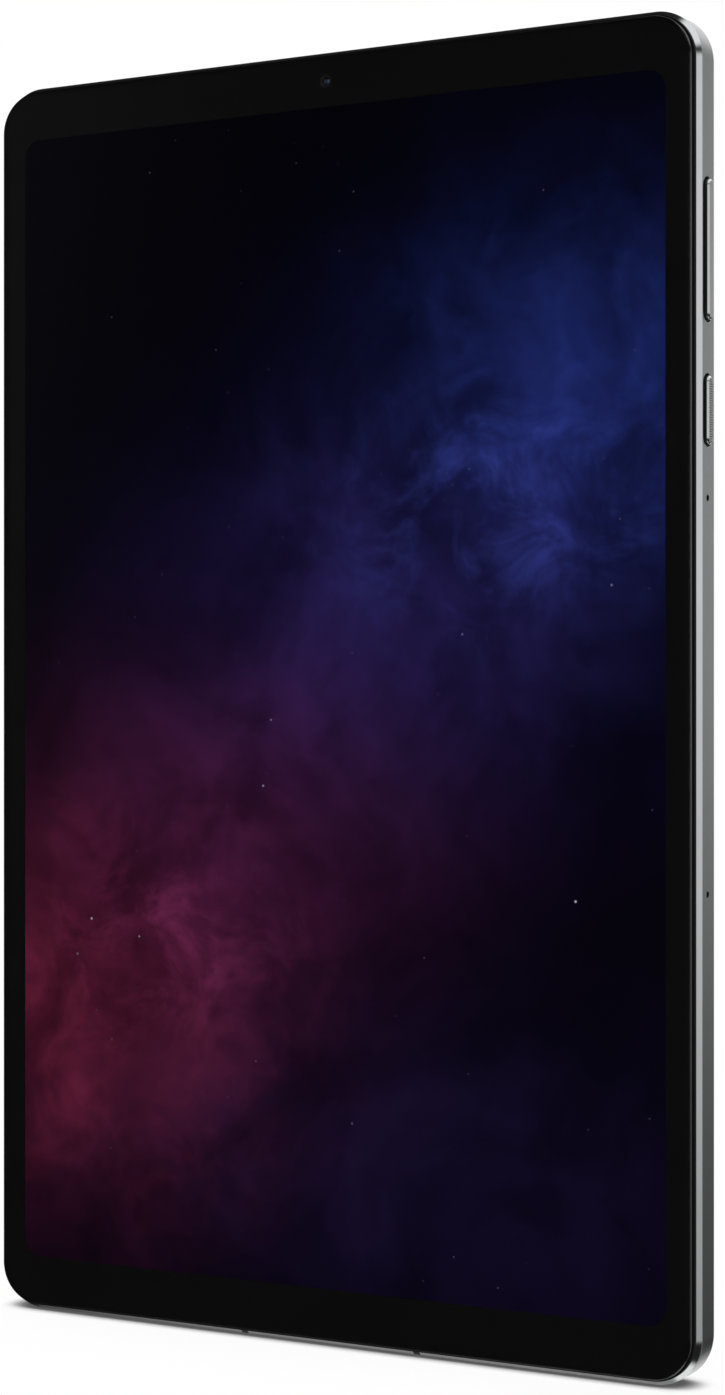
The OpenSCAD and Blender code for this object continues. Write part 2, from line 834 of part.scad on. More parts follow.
// Strip behind the keys and microphones, with a tail to the main board
module side_flex() {
    x1 = half_w - flex_top;
    tail_y = [board_y0 + 1, board_y0 + 5];
    tail_z = side_mid_z + low_side;
    upright() color("orange") {
        block([x1 - flex_t, mic_ys[0] - 3, side_mid_z + low_side],
            [x1, volume_y + 12, side_mid_z + high_side]);
        block([board_x1 + 0.5, tail_y[0], tail_z], [x1 - 0.1, tail_y[1], tail_z + flex_t]);
        block([board_x1 - 2, tail_y[0], board_top_z], [board_x1 + 1, tail_y[1], tail_z + flex_t]);
    }
}

module side_switches() {
    x0 = half_w - flex_top;
    x1 = half_w - switch_top;
    upright() color("silver")
        for (y = [volume_y - volume_pegs, volume_y + volume_pegs, power_y]) {
            block([x0, y - 1.6, side_mid_z + low_side], [x0 + 0.3, y + 1.6, side_mid_z + high_side]);
            translate([x0, y, side_mid_z]) rotate([0, 90, 0]) cylinder(h = x1 - x0, r = 0.75);
        }
}

// Stiff plate behind the strip, with a gap for its tail
module key_bracket() {
    x1 = half_w - flex_top - flex_t;
    upright() color("silver") difference() {
        block([x1 - bracket_t, power_y - 7.5, floor_z],
            [x1, volume_y + 12.5, side_mid_z + high_side]);
        block([x1 - 1, board_y0 + 0.9, side_mid_z - 1],
            [x1 + 1, board_y0 + 5.1, side_mid_z - 0.65]);
    }
}

module microphones() {
    x0 = half_w - flex_top;
    upright() color("gold") for (y = mic_ys)
        block([x0, y - 1.8, side_mid_z + low_side], [inner_x - 0.5, y + 1.8, side_mid_z + high_side]);
}

module mic_gaskets() {
    upright() color("black") for (y = mic_ys)
        translate([inner_x - 0.5, y, side_mid_z]) rotate([0, 90, 0]) difference() {
            cylinder(h = 0.5, r = 0.85);
            translate([0, 0, -1]) cylinder(h = 3, r = mic_d / 2);
        }
}

// A bush in the wall guides one key
module key_bush(y, slot) {
    difference() {
        side_bar(inner_x, half_w - bush_sunk, y, side_mid_z, slot, slot_w);
        side_bar(inner_x - 1, half_w + 1, y, side_mid_z,
            slot - 2 * (key_end_gap - key_clear), key_w + 2 * key_clear);
    }
}

module key_bushes() {
    upright() color("black") {
        key_bush(volume_y, volume_slot);
        key_bush(power_y, power_slot);
    }
}

// A key: a bar through the bush with a bevelled face, a flange inside that keeps it in, and pegs
module side_key(y, slot, pegs) {
    length = slot - 2 * key_end_gap;
    face_x = half_w + key_proud - key_bevel;
    side_bar(half_w - flange_out - eps, face_x, y, side_mid_z, length, key_w);
    side_bevel(face_x, y, side_mid_z, length, key_w, key_bevel);
    block([half_w - flange_in, y - length / 2 - flange_over, side_mid_z + low_side],
        [half_w - flange_out, y + length / 2 + flange_over, side_mid_z + high_side]);
    for (p = pegs) translate([half_w - peg_in, y + p, side_mid_z]) rotate([0, 90, 0])
        cylinder(h = peg_in - flange_in + eps, r = peg_r);
}

module volume_key() {
    upright() color("gray") side_key(volume_y, volume_slot, [-volume_pegs, volume_pegs]);
}

module power_key() {
    upright() color("gray") side_key(power_y, power_slot, [0]);
}

// ---------- card tray ----------

module card_tray() {
    x0 = tray_face_t - half_w;
    card_x = x0 + 1.2;
    ledge = 1;
    upright() color("dimgray") difference() {
        union() {
            side_bar(-half_w, x0, tray_y, side_mid_z, tray_w, tray_face_h);
            translate([x0 - eps, tray_y - tray_bed[1] / 2, side_mid_z - tray_bed[2] / 2])
                cube(tray_bed);
        }
        // pocket for the card, with a floor left under its edges
        block([card_x, tray_y - card_w / 2, side_mid_z - 0.2],
            [card_x + card_l, tray_y + card_w / 2, side_mid_z + 1]);
        block([card_x + ledge, tray_y - card_w / 2 + ledge, side_mid_z - 1],
            [card_x + card_l - ledge, tray_y + card_w / 2 - ledge, side_mid_z + 1]);
        // hole for the eject pin
        translate([-half_w - 1, pin_y, side_mid_z]) rotate([0, 90, 0]) cylinder(h = 4, d = pin_d);
    }
}

module tray_seal() {
    x0 = tray_face_t - half_w;
    upright() color("black") difference() {
        side_bar(x0, x0 + 0.4, tray_y, side_mid_z, tray_w - 0.3, tray_face_h - 0.3);
        block([x0 - 1, tray_y - tray_bed[1] / 2, side_mid_z - tray_bed[2] / 2],
            [x0 + 2, tray_y + tray_bed[1] / 2, side_mid_z + tray_bed[2] / 2]);
        translate([x0 - 1, pin_y, side_mid_z]) rotate([0, 90, 0]) cylinder(h = 4, d = pin_d);
    }
}

// A steel cover over the tray, open below and towards the slot
module card_cage() {
    x0 = 0.2 - inner_x;
    top_z = frame_back_z - 0.1;
    half_y = tray_bed[1] / 2 + 0.4;
    upright() color("silver") difference() {
        block([x0, tray_y - half_y - cage_t, board_top_z],
            [x0 + cage_l, tray_y + half_y + cage_t, top_z]);
        block([x0 - 1, tray_y - half_y, board_top_z - 1],
            [x0 + cage_l - cage_t, tray_y + half_y, top_z - 0.2]);
    }
}

// Eight spring contacts under the card
module card_contacts() {
    size = [2, 0.5, side_mid_z - tray_bed[2] / 2 - 0.1 - board_top_z];
    upright() color("gold") for (k = [-3.5:3.5])
        translate([cage_l - inner_x - 4, tray_y + k * contact_pitch - size[1] / 2, board_top_z])
            cube(size);
}

rear_housing();
antenna_inserts();
trim_ring();
cover_glass();
bezel_mask();
optical_adhesive();
lcd_panel();
backlight_unit();
backlight_leds();
display_flex();
mid_frame();
screws();
battery_left();
battery_right();
battery_board();
battery_tape();
graphite_sheet();
main_board();
soc_shield();
power_shield();
heat_spreader();
usb_board();
usb_shell();
usb_tongue();
main_flex();
coax_cable();
speaker_bottom();
speaker_top();
speaker_meshes();
haptic_case();
haptic_coil();
haptic_mass();
front_camera();
light_sensor();
rear_camera();
focus_barrel();
macro_camera();
camera_island();
lens_rings();
camera_windows();
flash_led();
flash_lens();
side_flex();
side_switches();
key_bracket();
microphones();
mic_gaskets();
key_bushes();
volume_key();
power_key();
card_tray();
tray_seal();
card_cage();
card_contacts();
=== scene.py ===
import json
import math

import bmesh
import bpy
from mathutils import Matrix, Vector


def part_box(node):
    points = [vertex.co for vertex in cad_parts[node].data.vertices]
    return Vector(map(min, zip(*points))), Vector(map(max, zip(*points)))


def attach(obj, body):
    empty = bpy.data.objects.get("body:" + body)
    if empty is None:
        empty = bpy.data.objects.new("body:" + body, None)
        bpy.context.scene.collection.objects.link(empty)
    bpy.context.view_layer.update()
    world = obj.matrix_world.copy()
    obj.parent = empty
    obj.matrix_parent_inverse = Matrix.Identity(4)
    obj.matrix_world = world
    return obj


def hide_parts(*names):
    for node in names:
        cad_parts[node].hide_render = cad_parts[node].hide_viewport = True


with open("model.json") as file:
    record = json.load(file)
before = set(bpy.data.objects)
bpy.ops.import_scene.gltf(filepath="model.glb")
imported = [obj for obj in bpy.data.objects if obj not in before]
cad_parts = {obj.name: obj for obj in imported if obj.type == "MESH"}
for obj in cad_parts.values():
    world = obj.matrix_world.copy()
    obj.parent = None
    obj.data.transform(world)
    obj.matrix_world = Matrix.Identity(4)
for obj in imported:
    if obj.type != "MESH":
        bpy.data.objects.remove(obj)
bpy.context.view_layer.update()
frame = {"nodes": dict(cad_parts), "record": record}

# Shapes are worked out in millimetres in the row frame: x to the right of the screen, y from the
# screen to the back and z up the body. make_piece() turns them into metres.
MM = 0.001


def box_mm(node):
    """Lowest and highest corner of a CAD node, in millimetres."""
    low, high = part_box(node)
    return low / MM, high / MM


# ---------- sizes that the boxes don't give, as in the CAD ----------

CORNER_R = 7.6
WALL = 1.6
FLOOR_T = 1.0
CHAMFER = 0.67
BACK_ROUND = 1.37
PICTURE_W = 118.8
PICTURE_H = 190.4
PICTURE_R = 3.0
GLASS_EDGE_W = 0.6
GLASS_EDGE_H = 0.5
KEY_BEVEL = 0.27
KNURL_PITCH = 0.36
KNURL_R = 0.19
KNURL_H = 0.09
KEY_W = 2.1
KEY_END_GAP = 0.35
KEY_CLEAR = 0.15
FLANGE_OVER = 0.65
SLOT_W = 3.6
SOUND_HOLE_R = 0.65
SOUND_HOLES = 10
SOUND_PITCH = 2.5
SPEAKER_X = 36.0
MIC_R = 0.5
MIC_HEIGHTS = (74.5, 134.5)
USB_GAP = 0.15
TRAY_GAP = 0.12
USB_WALL = 0.25
INSERT_X = 16.0
INSERT_W = 1.2
INSERT_REACH = 9.0
LENS_R = 1.05
WINDOW_DEPTH = 0.6

body_low, body_high = box_mm("rear_housing")
HALF_W = body_high.x
HEIGHT = body_high.z
RIM_Y = body_low.y
BACK_Y = body_high.y
FLAT_FRONT_Y = RIM_Y + CHAMFER
FLAT_BACK_Y = BACK_Y - BACK_ROUND
SIDE_Y = (FLAT_FRONT_Y + FLAT_BACK_Y) / 2
FLOOR_Y = BACK_Y - FLOOR_T
INNER_X = HALF_W - WALL

CORNER_STEPS = 20
ROUND_STEPS = 8
CIRCLE_STEPS = 48


# ---------- mesh helpers ----------

def arc(centre, radius, start, end, steps):
    """Points of an arc, as (a, b) pairs, from start to end in degrees."""
    angles = [math.radians(start + (end - start) * k / steps) for k in range(steps + 1)]
    return [(centre[0] + radius * math.cos(t), centre[1] + radius * math.sin(t)) for t in angles]


def rounded(half_a, half_b, radius, steps=CORNER_STEPS):
    """A rounded rectangle round (0, 0), as a closed list of (a, b) pairs."""
    points = []
    for quarter, (sa, sb) in enumerate([(1, 1), (-1, 1), (-1, -1), (1, -1)]):
        centre = (sa * (half_a - radius), sb * (half_b - radius))
        points += arc(centre, radius, quarter * 90, quarter * 90 + 90, steps)
    return points


def fillet(points, radius, steps=3):
    """An open profile with each of its inner corners rounded by a small arc."""
    soft = [points[0]]
    for before, corner, after in zip(points, points[1:], points[2:]):
        c, a, b = Vector(corner), Vector(before) - Vector(corner), Vector(after) - Vector(corner)
        reach = min(radius, a.length / 2.5, b.length / 2.5)
        start, end = c + a.normalized() * reach, c + b.normalized() * reach
        for k in range(steps + 1):
            t = k / steps
            soft.append(tuple((1 - t) ** 2 * start + 2 * t * (1 - t) * c + t ** 2 * end))
    return soft + [points[-1]]


def skin(bm, rings, caps=True, materials=None):
    """Faces between rings of points, with the two end rings closed."""
    loops = [[bm.verts.new(p) for p in ring] for ring in rings]
    for k, (a, b) in enumerate(zip(loops, loops[1:])):
        for i in range(len(a)):
            face = bm.faces.new((a[i - 1], a[i], b[i], b[i - 1]))
            face.material_index = materials[k] if materials else 0
    if caps:
        bm.faces.new(loops[0])
        bm.faces.new(loops[-1])
    return bm


def lathe(bm, centre, profile, axis="y", steps=CIRCLE_STEPS, material=0, caps=True):
    """Turns a profile of (radius, along) pairs round an axis through centre."""
    rings = []
    for radius, along in profile:
        ring = []
        for k in range(steps):
            t = 2 * math.pi * k / steps
            a, b = radius * math.cos(t), radius * math.sin(t)
            place = {"y": (a, along, b), "x": (along, a, b), "z": (a, b, along)}[axis]
            ring.append(Vector(centre) + Vector(place))
        rings.append(ring)
    return skin(bm, rings, caps, [material] * (len(rings) - 1))


def tube(bm, centre, profile, axis="y", steps=CIRCLE_STEPS, material=0):
    """Turns a closed profile of (radius, along) pairs into a ring."""
    closed = list(profile) + [profile[0]]
    return lathe(bm, centre, closed, axis, steps, material, caps=False)


def join(bm, part):
    """Adds the bmesh part to bm, and frees it."""
    spare = bpy.data.meshes.new("spare")
    part.to_mesh(spare)
    part.free()
    bm.from_mesh(spare)
    bpy.data.meshes.remove(spare)
    return bm


def block(bm, low, high, soft=0.05, material=0):
    """A block between two corners with softened edges. It is bevelled apart from bm, because
    what is added to a bmesh after a bevel can be listed in another order in each run."""
    part = bmesh.new()
    bmesh.ops.create_cube(part, size=1.0)
    for vert in part.verts:
        vert.co = Vector(a + (b - a) * (c + 0.5) for a, b, c in zip(low, high, vert.co))
    for face in part.faces:
        face.material_index = material
    if soft:
        bmesh.ops.bevel(part, geom=list(part.edges), offset=soft, segments=2, affect="EDGES",
                        profile=0.5)
    return join(bm, part)


def merge_rings(bm):
    """Joins the points that a closed profile leaves doubled."""
    bmesh.ops.remove_doubles(bm, verts=bm.verts, dist=1e-5)
    return bm


def temporary(bm, name):
    """An object for the cutter to work on, thrown away afterwards."""
    bmesh.ops.recalc_face_normals(bm, faces=bm.faces)
    mesh = bpy.data.meshes.new(name)
    bm.to_mesh(mesh)
    piece = bpy.data.objects.new(name, mesh)
    bpy.context.scene.collection.objects.link(piece)
    return piece


def cut(solid, tool, operation="DIFFERENCE"):
    """The bmesh solid with the bmesh tool cut out of it, or kept to it."""
    blank, cutter = temporary(solid, "blank"), temporary(tool, "cutter")
    modifier = blank.modifiers.new("cut", "BOOLEAN")
    modifier.operation = operation
    modifier.solver = "EXACT"
    modifier.use_self = True
    modifier.object = cutter
    result = bmesh.new()
    result.from_object(blank, bpy.context.evaluated_depsgraph_get())
    for piece in (blank, cutter):
        mesh = piece.data
        bpy.data.objects.remove(piece)
        bpy.data.meshes.remove(mesh)
    solid.free()
    return result


def make_piece(name, bm, materials, body, replaces=(), sharp=35.0):
    """Turns a bmesh in millimetres into a piece that rides on a body."""
    bmesh.ops.recalc_face_normals(bm, faces=bm.faces)
    bm.transform(Matrix.Scale(MM, 4))
    mesh = bpy.data.meshes.new(name)
    bm.to_mesh(mesh)
    bm.free()
    for material in materials:
        mesh.materials.append(material)
    mesh.polygons.foreach_set("use_smooth", [True] * len(mesh.polygons))
    mesh.set_sharp_from_angle(angle=math.radians(sharp))
    piece = bpy.data.objects.new(name, mesh)
    bpy.context.scene.collection.objects.link(piece)
    normals = piece.modifiers.new("flat faces stay flat", "WEIGHTED_NORMAL")
    normals.keep_sharp = True
    normals.weight = 100
    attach(piece, body)
    if replaces:
        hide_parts(*replaces)
    return piece


# ---------- material helpers ----------

def srgb(r, g, b):
    """A colour given as it looks on a screen, 0 to 255, as linear light."""
    def linear(v):
        """One channel, by the sRGB curve."""
        v /= 255
        return v / 12.92 if v <= 0.04045 else ((v + 0.055) / 1.055) ** 2.4
    return (linear(r), linear(g), linear(b), 1.0)


class Wire:
    """A shader value that can be used in sums like a number."""

    def __init__(self, graph, socket):
        self.graph = graph
        self.socket = socket

    def __add__(self, other):
        return self.graph.math("ADD", self, other)

    def __sub__(self, other):
        return self.graph.math("SUBTRACT", self, other)

    def __mul__(self, other):
        return self.graph.math("MULTIPLY", self, other)

    def __rsub__(self, other):
        return self.graph.math("SUBTRACT", other, self)

    __radd__ = __add__
    __rmul__ = __mul__


class Graph:
    """A node tree being built, for a material or for the world."""

    def __init__(self, tree):
        self.tree = tree

    def node(self, kind, **settings):
        """A new node of a kind, with its settings."""
        made = self.tree.nodes.new(kind)
        for key, value in settings.items():
            setattr(made, key, value)
        return made

    def feed(self, socket, value):
        """Links a wire to a socket, or sets the socket to a plain value."""
        if isinstance(value, Wire):
            self.tree.links.new(value.socket, socket)
        else:
            socket.default_value = value

    def math(self, operation, *values):
        """The outcome of a sum with numbers."""
        made = self.node("ShaderNodeMath", operation=operation)
        for socket, value in zip(made.inputs, values):
            self.feed(socket, value)
        return Wire(self, made.outputs[0])

    def vector(self, operation, *values, output=0):
        """The outcome of a sum with vectors or colours."""
        made = self.node("ShaderNodeVectorMath", operation=operation)
        for socket, value in zip(made.inputs, values):
            self.feed(socket, value[:3] if isinstance(value, tuple) else value)
        return Wire(self, made.outputs[output])

    def smooth(self, value, low, high):
        """0 below low, 1 above high and an even curve between them."""
        made = self.node("ShaderNodeMapRange", interpolation_type="SMOOTHSTEP")
        for socket, v in zip(made.inputs, (value, low, high)):
            self.feed(socket, v)
        return Wire(self, made.outputs[0])

    def noise(self, scale, detail=2.0, roughness=0.5, distortion=0.0, at=None):
        """Smooth noise from 0 to 1, the finer the larger its scale."""
        made = self.node("ShaderNodeTexNoise")
        for name, value in (("Scale", scale), ("Detail", detail), ("Roughness", roughness),
                            ("Distortion", distortion)):
            made.inputs[name].default_value = value
        self.feed(made.inputs["Vector"], at or self.place())
        return Wire(self, made.outputs["Fac"])

    def place(self, scale=(1, 1, 1)):
        """Position on the object in metres, stretched by scale."""
        made = self.node("ShaderNodeTexCoord")
        where = Wire(self, made.outputs["Object"])
        return where if scale == (1, 1, 1) else self.vector("MULTIPLY", where, scale)

    def mix(self, share, a, b):
        """Colour a turning into colour b as share goes from 0 to 1."""
        made = self.node("ShaderNodeMix", data_type="RGBA")
        self.feed(made.inputs[0], share)
        self.feed(made.inputs[6], a)
        self.feed(made.inputs[7], b)
        return Wire(self, made.outputs[2])


class Finish(Graph):
    """One material, built round a Principled shader."""

    def __init__(self, name, **settings):
        self.material = bpy.data.materials.new(name)
        self.material.use_nodes = True
        super().__init__(self.material.node_tree)
        self.shader = self.tree.nodes["Principled BSDF"]
        for key, value in settings.items():
            self.set(key, value)

    def set(self, key, value):
        """Sets one of the shader's inputs, named in lower case with underscores."""
        name = key.replace("_", " ").title().replace("Ior", "IOR")
        self.feed(self.shader.inputs[name], value)

    def bump(self, height, distance, strength=1.0):
        """Relief from a 0 to 1 height, distance deep in millimetres."""
        made = self.node("ShaderNodeBump")
        made.inputs["Strength"].default_value = strength
        made.inputs["Distance"].default_value = distance * MM
        self.feed(made.inputs["Height"], height)
        self.feed(self.shader.inputs["Normal"], Wire(self, made.outputs[0]))

    def vary(self, colour, share=0.15, size=3.0):
        """The colour with soft blotches of a given size in millimetres."""
        r, g, b, a = colour
        dark = (r * (1 - share), g * (1 - share), b * (1 - share), a)
        light = (min(r * (1 + share), 1), min(g * (1 + share), 1), min(b * (1 + share), 1), a)
        self.set("base_color", self.mix(self.noise(1 / (size * MM), 3.0), dark, light))


def anodised(name, colour, grain=0.11, roughness=0.36):
    """Bead-blasted and dyed aluminium: a very fine even grain and faint handling marks."""
    f = Finish(name, metallic=1.0)
    f.vary(colour, 0.16, grain * 2)
    blast = f.noise(1 / (grain * MM), 2.0, 0.6)
    smears = f.noise(1 / (14 * MM), 4.0, 0.6, 0.6)
    scuffs = f.noise(1 / (0.5 * MM), 2.0, 0.5, at=f.place((1, 1, 0.02)))
    worn = f.smooth(scuffs, 0.70, 0.78)
    f.set("roughness", smears * 0.07 + blast * 0.05 + worn * -0.05 + (roughness - 0.06))
    f.bump(blast, 0.012, 0.6)
    return f.material


def polished(name, colour, roughness=0.14):
    """Diamond-cut aluminium: bright, with fine turning lines along it."""
    f = Finish(name, metallic=1.0)
    f.vary(colour, 0.04, 6.0)
    lines = f.noise(1 / (0.03 * MM), 2.0, 0.5, at=f.place((0.05, 1, 0.05)))
    marks = f.noise(1 / (5 * MM), 3.0)
    f.set("roughness", marks * 0.06 + (roughness - 0.03))
    f.bump(lines, 0.0012, 0.5)
    return f.material


def moulded(name, colour, roughness=0.5, grain=0.12, depth=0.004, **settings):
    """Moulded plastic or rubber with a fine spark-eroded grain."""
    f = Finish(name, **settings)
    f.vary(colour, 0.1, 4.0)
    spark = f.noise(1 / (grain * MM), 3.0, 0.6)
    f.set("roughness", spark * 0.16 + (roughness - 0.08))
    f.bump(spark, depth, 0.6)
    return f.material


def sheet_metal(name, colour, roughness=0.3, metallic=1.0):
    """Rolled or plated metal: long faint rolling lines and duller patches."""
    f = Finish(name, metallic=metallic)
    f.vary(colour, 0.08, 5.0)
    rolled = f.noise(1 / (0.06 * MM), 3.0, 0.6, at=f.place((0.04, 1, 1)))
    patches = f.noise(1 / (2.5 * MM), 4.0, 0.6)
    f.set("roughness", patches * 0.2 + (roughness - 0.1))
    f.bump(rolled, 0.003, 0.5)
    return f.material


def clear(name, colour, roughness, ior, **settings):
    """Glass or clear plastic with the faintest waviness."""
    f = Finish(name, transmission_weight=1.0, ior=ior, **settings)
    f.set("base_color", colour)
    smears = f.noise(1 / (18 * MM), 4.0, 0.6, 0.8)
    f.set("roughness", smears * (roughness * 0.8) + roughness * 0.6)
    return f.material


def lens_glass(name, colour, metallic=0.0):
    """The front of a lens seen from outside: deep and dark under a coated, glossy surface."""
    f = Finish(name, coat_weight=1.0, specular_ior_level=1.0, metallic=metallic)
    f.vary(colour, 0.4, 0.8)
    f.set("roughness", f.noise(1 / (2 * MM), 3.0) * 0.06 + 0.02)
    return f.material


def circuit_board():
    """Green solder mask over copper tracks."""
    f = Finish("circuit_board")
    tracks = f.node("ShaderNodeTexBrick", offset=0.3)
    f.feed(tracks.inputs["Vector"], f.vector("MULTIPLY", f.place(), (900, 900, 420)))
    tracks.inputs["Mortar Size"].default_value = 0.03
    over_track = Wire(f, tracks.outputs["Fac"])
    cloudy = f.noise(1 / (3 * MM), 2.0)
    mask = f.mix(cloudy, (0.008, 0.07, 0.035, 1), (0.012, 0.1, 0.05, 1))
    f.set("base_color", f.mix(over_track, mask, (0.03, 0.17, 0.08, 1)))
    f.set("roughness", cloudy * 0.15 + 0.3)
    f.bump(over_track, 0.02, 0.5)
    return f.material


def woven_mesh():
    """Fine acoustic mesh: threads over and under each other."""
    f = Finish("speaker_mesh")
    waves = []
    for axis in ("X", "Z"):
        wave = f.node("ShaderNodeTexWave", wave_type="BANDS", bands_direction=axis)
        wave.inputs["Scale"].default_value = 1 / (0.55 * MM)
        f.feed(wave.inputs["Vector"], f.place())
        waves.append(Wire(f, wave.outputs["Fac"]))
    weave = f.math("MAXIMUM", waves[0], waves[1])
    f.set("base_color", f.mix(weave, (0.004, 0.004, 0.004, 1), (0.05, 0.05, 0.052, 1)))
    f.set("roughness", weave * 0.2 + 0.4)
    f.bump(weave, 0.05)
    return f.material


def phosphor():
    """Small white lamp packages under a yellow layer."""
    f = Finish("led_strip")
    speck = f.noise(1 / (0.08 * MM), 2.0)
    f.set("base_color", f.mix(speck, (0.8, 0.62, 0.12, 1), (0.9, 0.78, 0.3, 1)))
    f.set("roughness", speck * 0.2 + 0.35)
    return f.material


def clear_gel():
    """Optically clear adhesive, which hardly shows at all."""
    f = Finish("clear_adhesive", alpha=0.02, roughness=0.1, specular_ior_level=0.0)
    f.vary((0.02, 0.02, 0.02, 1), 0.05, 6.0)
    return f.material


# ---------- the picture on the screen ----------

class Picture(Finish):
    """A lit screen, painted by adding light at places given in millimetres."""

    def __init__(self, name):
        super().__init__(name, roughness=0.3, base_color=(0.002, 0.002, 0.002, 1),
                         specular_ior_level=0.0)
        self.where = self.place((1 / MM, 1 / MM, 1 / MM))
        split = self.node("ShaderNodeSeparateXYZ")
        self.feed(split.inputs[0], self.where)
        self.x = Wire(self, split.outputs[0])
        self.z = Wire(self, split.outputs[2])

    def bell(self, middle_x, middle_z, wide, high):
        """1 at a place on the screen, fading evenly away from it."""
        dx = (self.x - middle_x) * (1 / wide)
        dz = (self.z - middle_z) * (1 / high)
        return self.math("EXPONENT", (dx * dx + dz * dz) * -1.0)

    def cloud(self, size, low, high, detail=6.0, roughness=0.62, twist=0.4):
        """Wispy patches about size millimetres across."""
        return self.smooth(self.noise(1 / size, detail, roughness, twist, self.where), low, high)

    def stars(self, spacing, size, rarity, colour):
        """Points of light scattered about spacing apart, most of them very faint."""
        cells = self.node("ShaderNodeTexVoronoi")
        cells.inputs["Scale"].default_value = 1 / spacing
        self.feed(cells.inputs["Vector"], self.where)
        chance = self.node("ShaderNodeSeparateColor")
        self.feed(chance.inputs[0], Wire(self, cells.outputs["Color"]))
        core = size / spacing
        near = self.smooth(Wire(self, cells.outputs["Distance"]), core, core * 0.2)
        bright = self.math("POWER", Wire(self, chance.outputs[0]), rarity)
        return self.mix(near * bright, (0, 0, 0, 1), srgb(*colour))

    def add(self, light, *glows):
        """The light with glows added to it: pairs of a colour and how strong it is where."""
        for colour, share in glows:
            light = self.vector("MULTIPLY_ADD", srgb(*colour), share, light)
        return light


def night_clouds(p):
    """Soft clouds across a nearly black sky, red at the lower left to blue at the upper right."""
    soft = p.cloud(30, 0.32, 0.72, 8.0) * 0.75 + 0.35
    rags = p.cloud(14, 0.42, 0.76, 10.0, 0.66, 0.5)
    sky = p.vector("ADD", srgb(2, 1, 6), (0, 0, 0))
    return p.add(
        sky,
        ((96, 26, 46), p.bell(-50, 52, 32, 28) * (soft * 0.6 + rags * 0.6)),
        ((58, 18, 48), p.bell(-20, 84, 34, 24) * soft),
        ((32, 24, 72), p.bell(12, 118, 38, 28) * soft),
        ((30, 44, 112), p.bell(44, 150, 30, 26) * (soft * 0.7 + rags * 0.5)),
        ((20, 13, 42), p.bell(10, 30, 60, 26) * soft),
        ((74, 26, 58), p.bell(-28, 66, 22, 14) * rags),
        ((38, 48, 112), p.bell(28, 132, 22, 14) * rags))


def night_stars(p, light):
    """The light with small stars scattered over it."""
    sparks = p.vector("ADD", p.stars(2.6, 0.16, 5.0, (120, 110, 150)),
                      p.stars(9.0, 0.30, 3.0, (190, 190, 225)))
    return p.vector("ADD", light, sparks)


def picture():
    """A lit screen with a plain night-sky picture of clouds and small stars."""
    p = Picture("lit_screen")
    p.set("emission_color", night_stars(p, night_clouds(p)))
    p.set("emission_strength", 1.0)
    return p.material


# ---------- every finish, by the record's slot names ----------

DARK_METAL = (0.235, 0.237, 0.242, 1)
finishes = {
    "anodised_body": anodised("anodised_body", DARK_METAL),
    "anodised_key": anodised("anodised_key", (0.30, 0.302, 0.306, 1), roughness=0.32),
    "antenna_plastic": moulded("antenna_plastic", (0.035, 0.036, 0.038, 1), 0.45),
    "trim_black": moulded("trim_black", (0.005, 0.005, 0.005, 1), 0.6, specular_ior_level=0.15),
    "cover_glass": clear("cover_glass", (1, 1, 1, 1), 0.01, 1.26, specular_ior_level=0.3),
    "black_film": moulded("black_film", (0.023, 0.023, 0.023, 1), 0.5, 0.2, 0.001,
                          specular_ior_level=0.05),
    "clear_adhesive": clear_gel(),
    "display": picture(),
    "white_diffuser": moulded("white_diffuser", (0.85, 0.87, 0.88, 1), 0.35),
    "led_strip": phosphor(),
    "polyimide_flex": moulded("polyimide_flex", (0.42, 0.16, 0.03, 1), 0.3),
    "cast_frame": sheet_metal("cast_frame", (0.42, 0.43, 0.44, 1), 0.5),
    "screw_steel": sheet_metal("screw_steel", (0.5, 0.5, 0.52, 1), 0.25),
    "battery_pouch": moulded("battery_pouch", (0.012, 0.012, 0.014, 1), 0.4, 0.5, 0.02),
    "circuit_board": circuit_board(),
    "pull_tape": moulded("pull_tape", (0.75, 0.75, 0.72, 1), 0.55),
    "graphite": moulded("graphite", (0.02, 0.02, 0.022, 1), 0.45),
    "shield_steel": sheet_metal("shield_steel", (0.62, 0.62, 0.64, 1), 0.3),
    "copper": sheet_metal("copper", (0.75, 0.33, 0.17, 1), 0.28),
    "socket_steel": sheet_metal("socket_steel", (0.42, 0.42, 0.44, 1), 0.25),
    "black_plastic": moulded("black_plastic", (0.008, 0.008, 0.0085, 1), 0.42),
    "cable_jacket": moulded("cable_jacket", (0.012, 0.012, 0.012, 1), 0.55),
    "speaker_mesh": woven_mesh(),
    "tungsten": sheet_metal("tungsten", (0.25, 0.25, 0.26, 1), 0.45),
    "camera_black": moulded("camera_black", (0.006, 0.006, 0.007, 1), 0.3),
    "polished_ring": polished("polished_ring", (0.5, 0.505, 0.515, 1)),
    "camera_glass": clear("camera_glass", (0.92, 0.95, 1.0, 1), 0.008, 1.4),
    "flash_plastic": clear("flash_plastic", (1.0, 0.98, 0.9, 1), 0.25, 1.4),
    "contact_gold": sheet_metal("contact_gold", (0.85, 0.6, 0.22, 1), 0.22),
    "black_rubber": moulded("black_rubber", (0.01, 0.01, 0.01, 1), 0.65),
}
bright_edge = polished("bright_edge", (0.74, 0.745, 0.755, 1))
key_edge = polished("key_edge", (0.7, 0.705, 0.715, 1), 0.2)
ground_edge = moulded("ground_edge", (0.004, 0.004, 0.004, 1), 0.16, 0.3, 0.001,
                      specular_ior_level=1.0)
camera_rim = moulded("camera_rim", (0.055, 0.056, 0.06, 1), 0.45)
deep_lens = lens_glass("deep_lens", (0.004, 0.005, 0.016, 1))
front_lens = lens_glass("front_lens", (0.10, 0.17, 0.30, 1), 0.6)

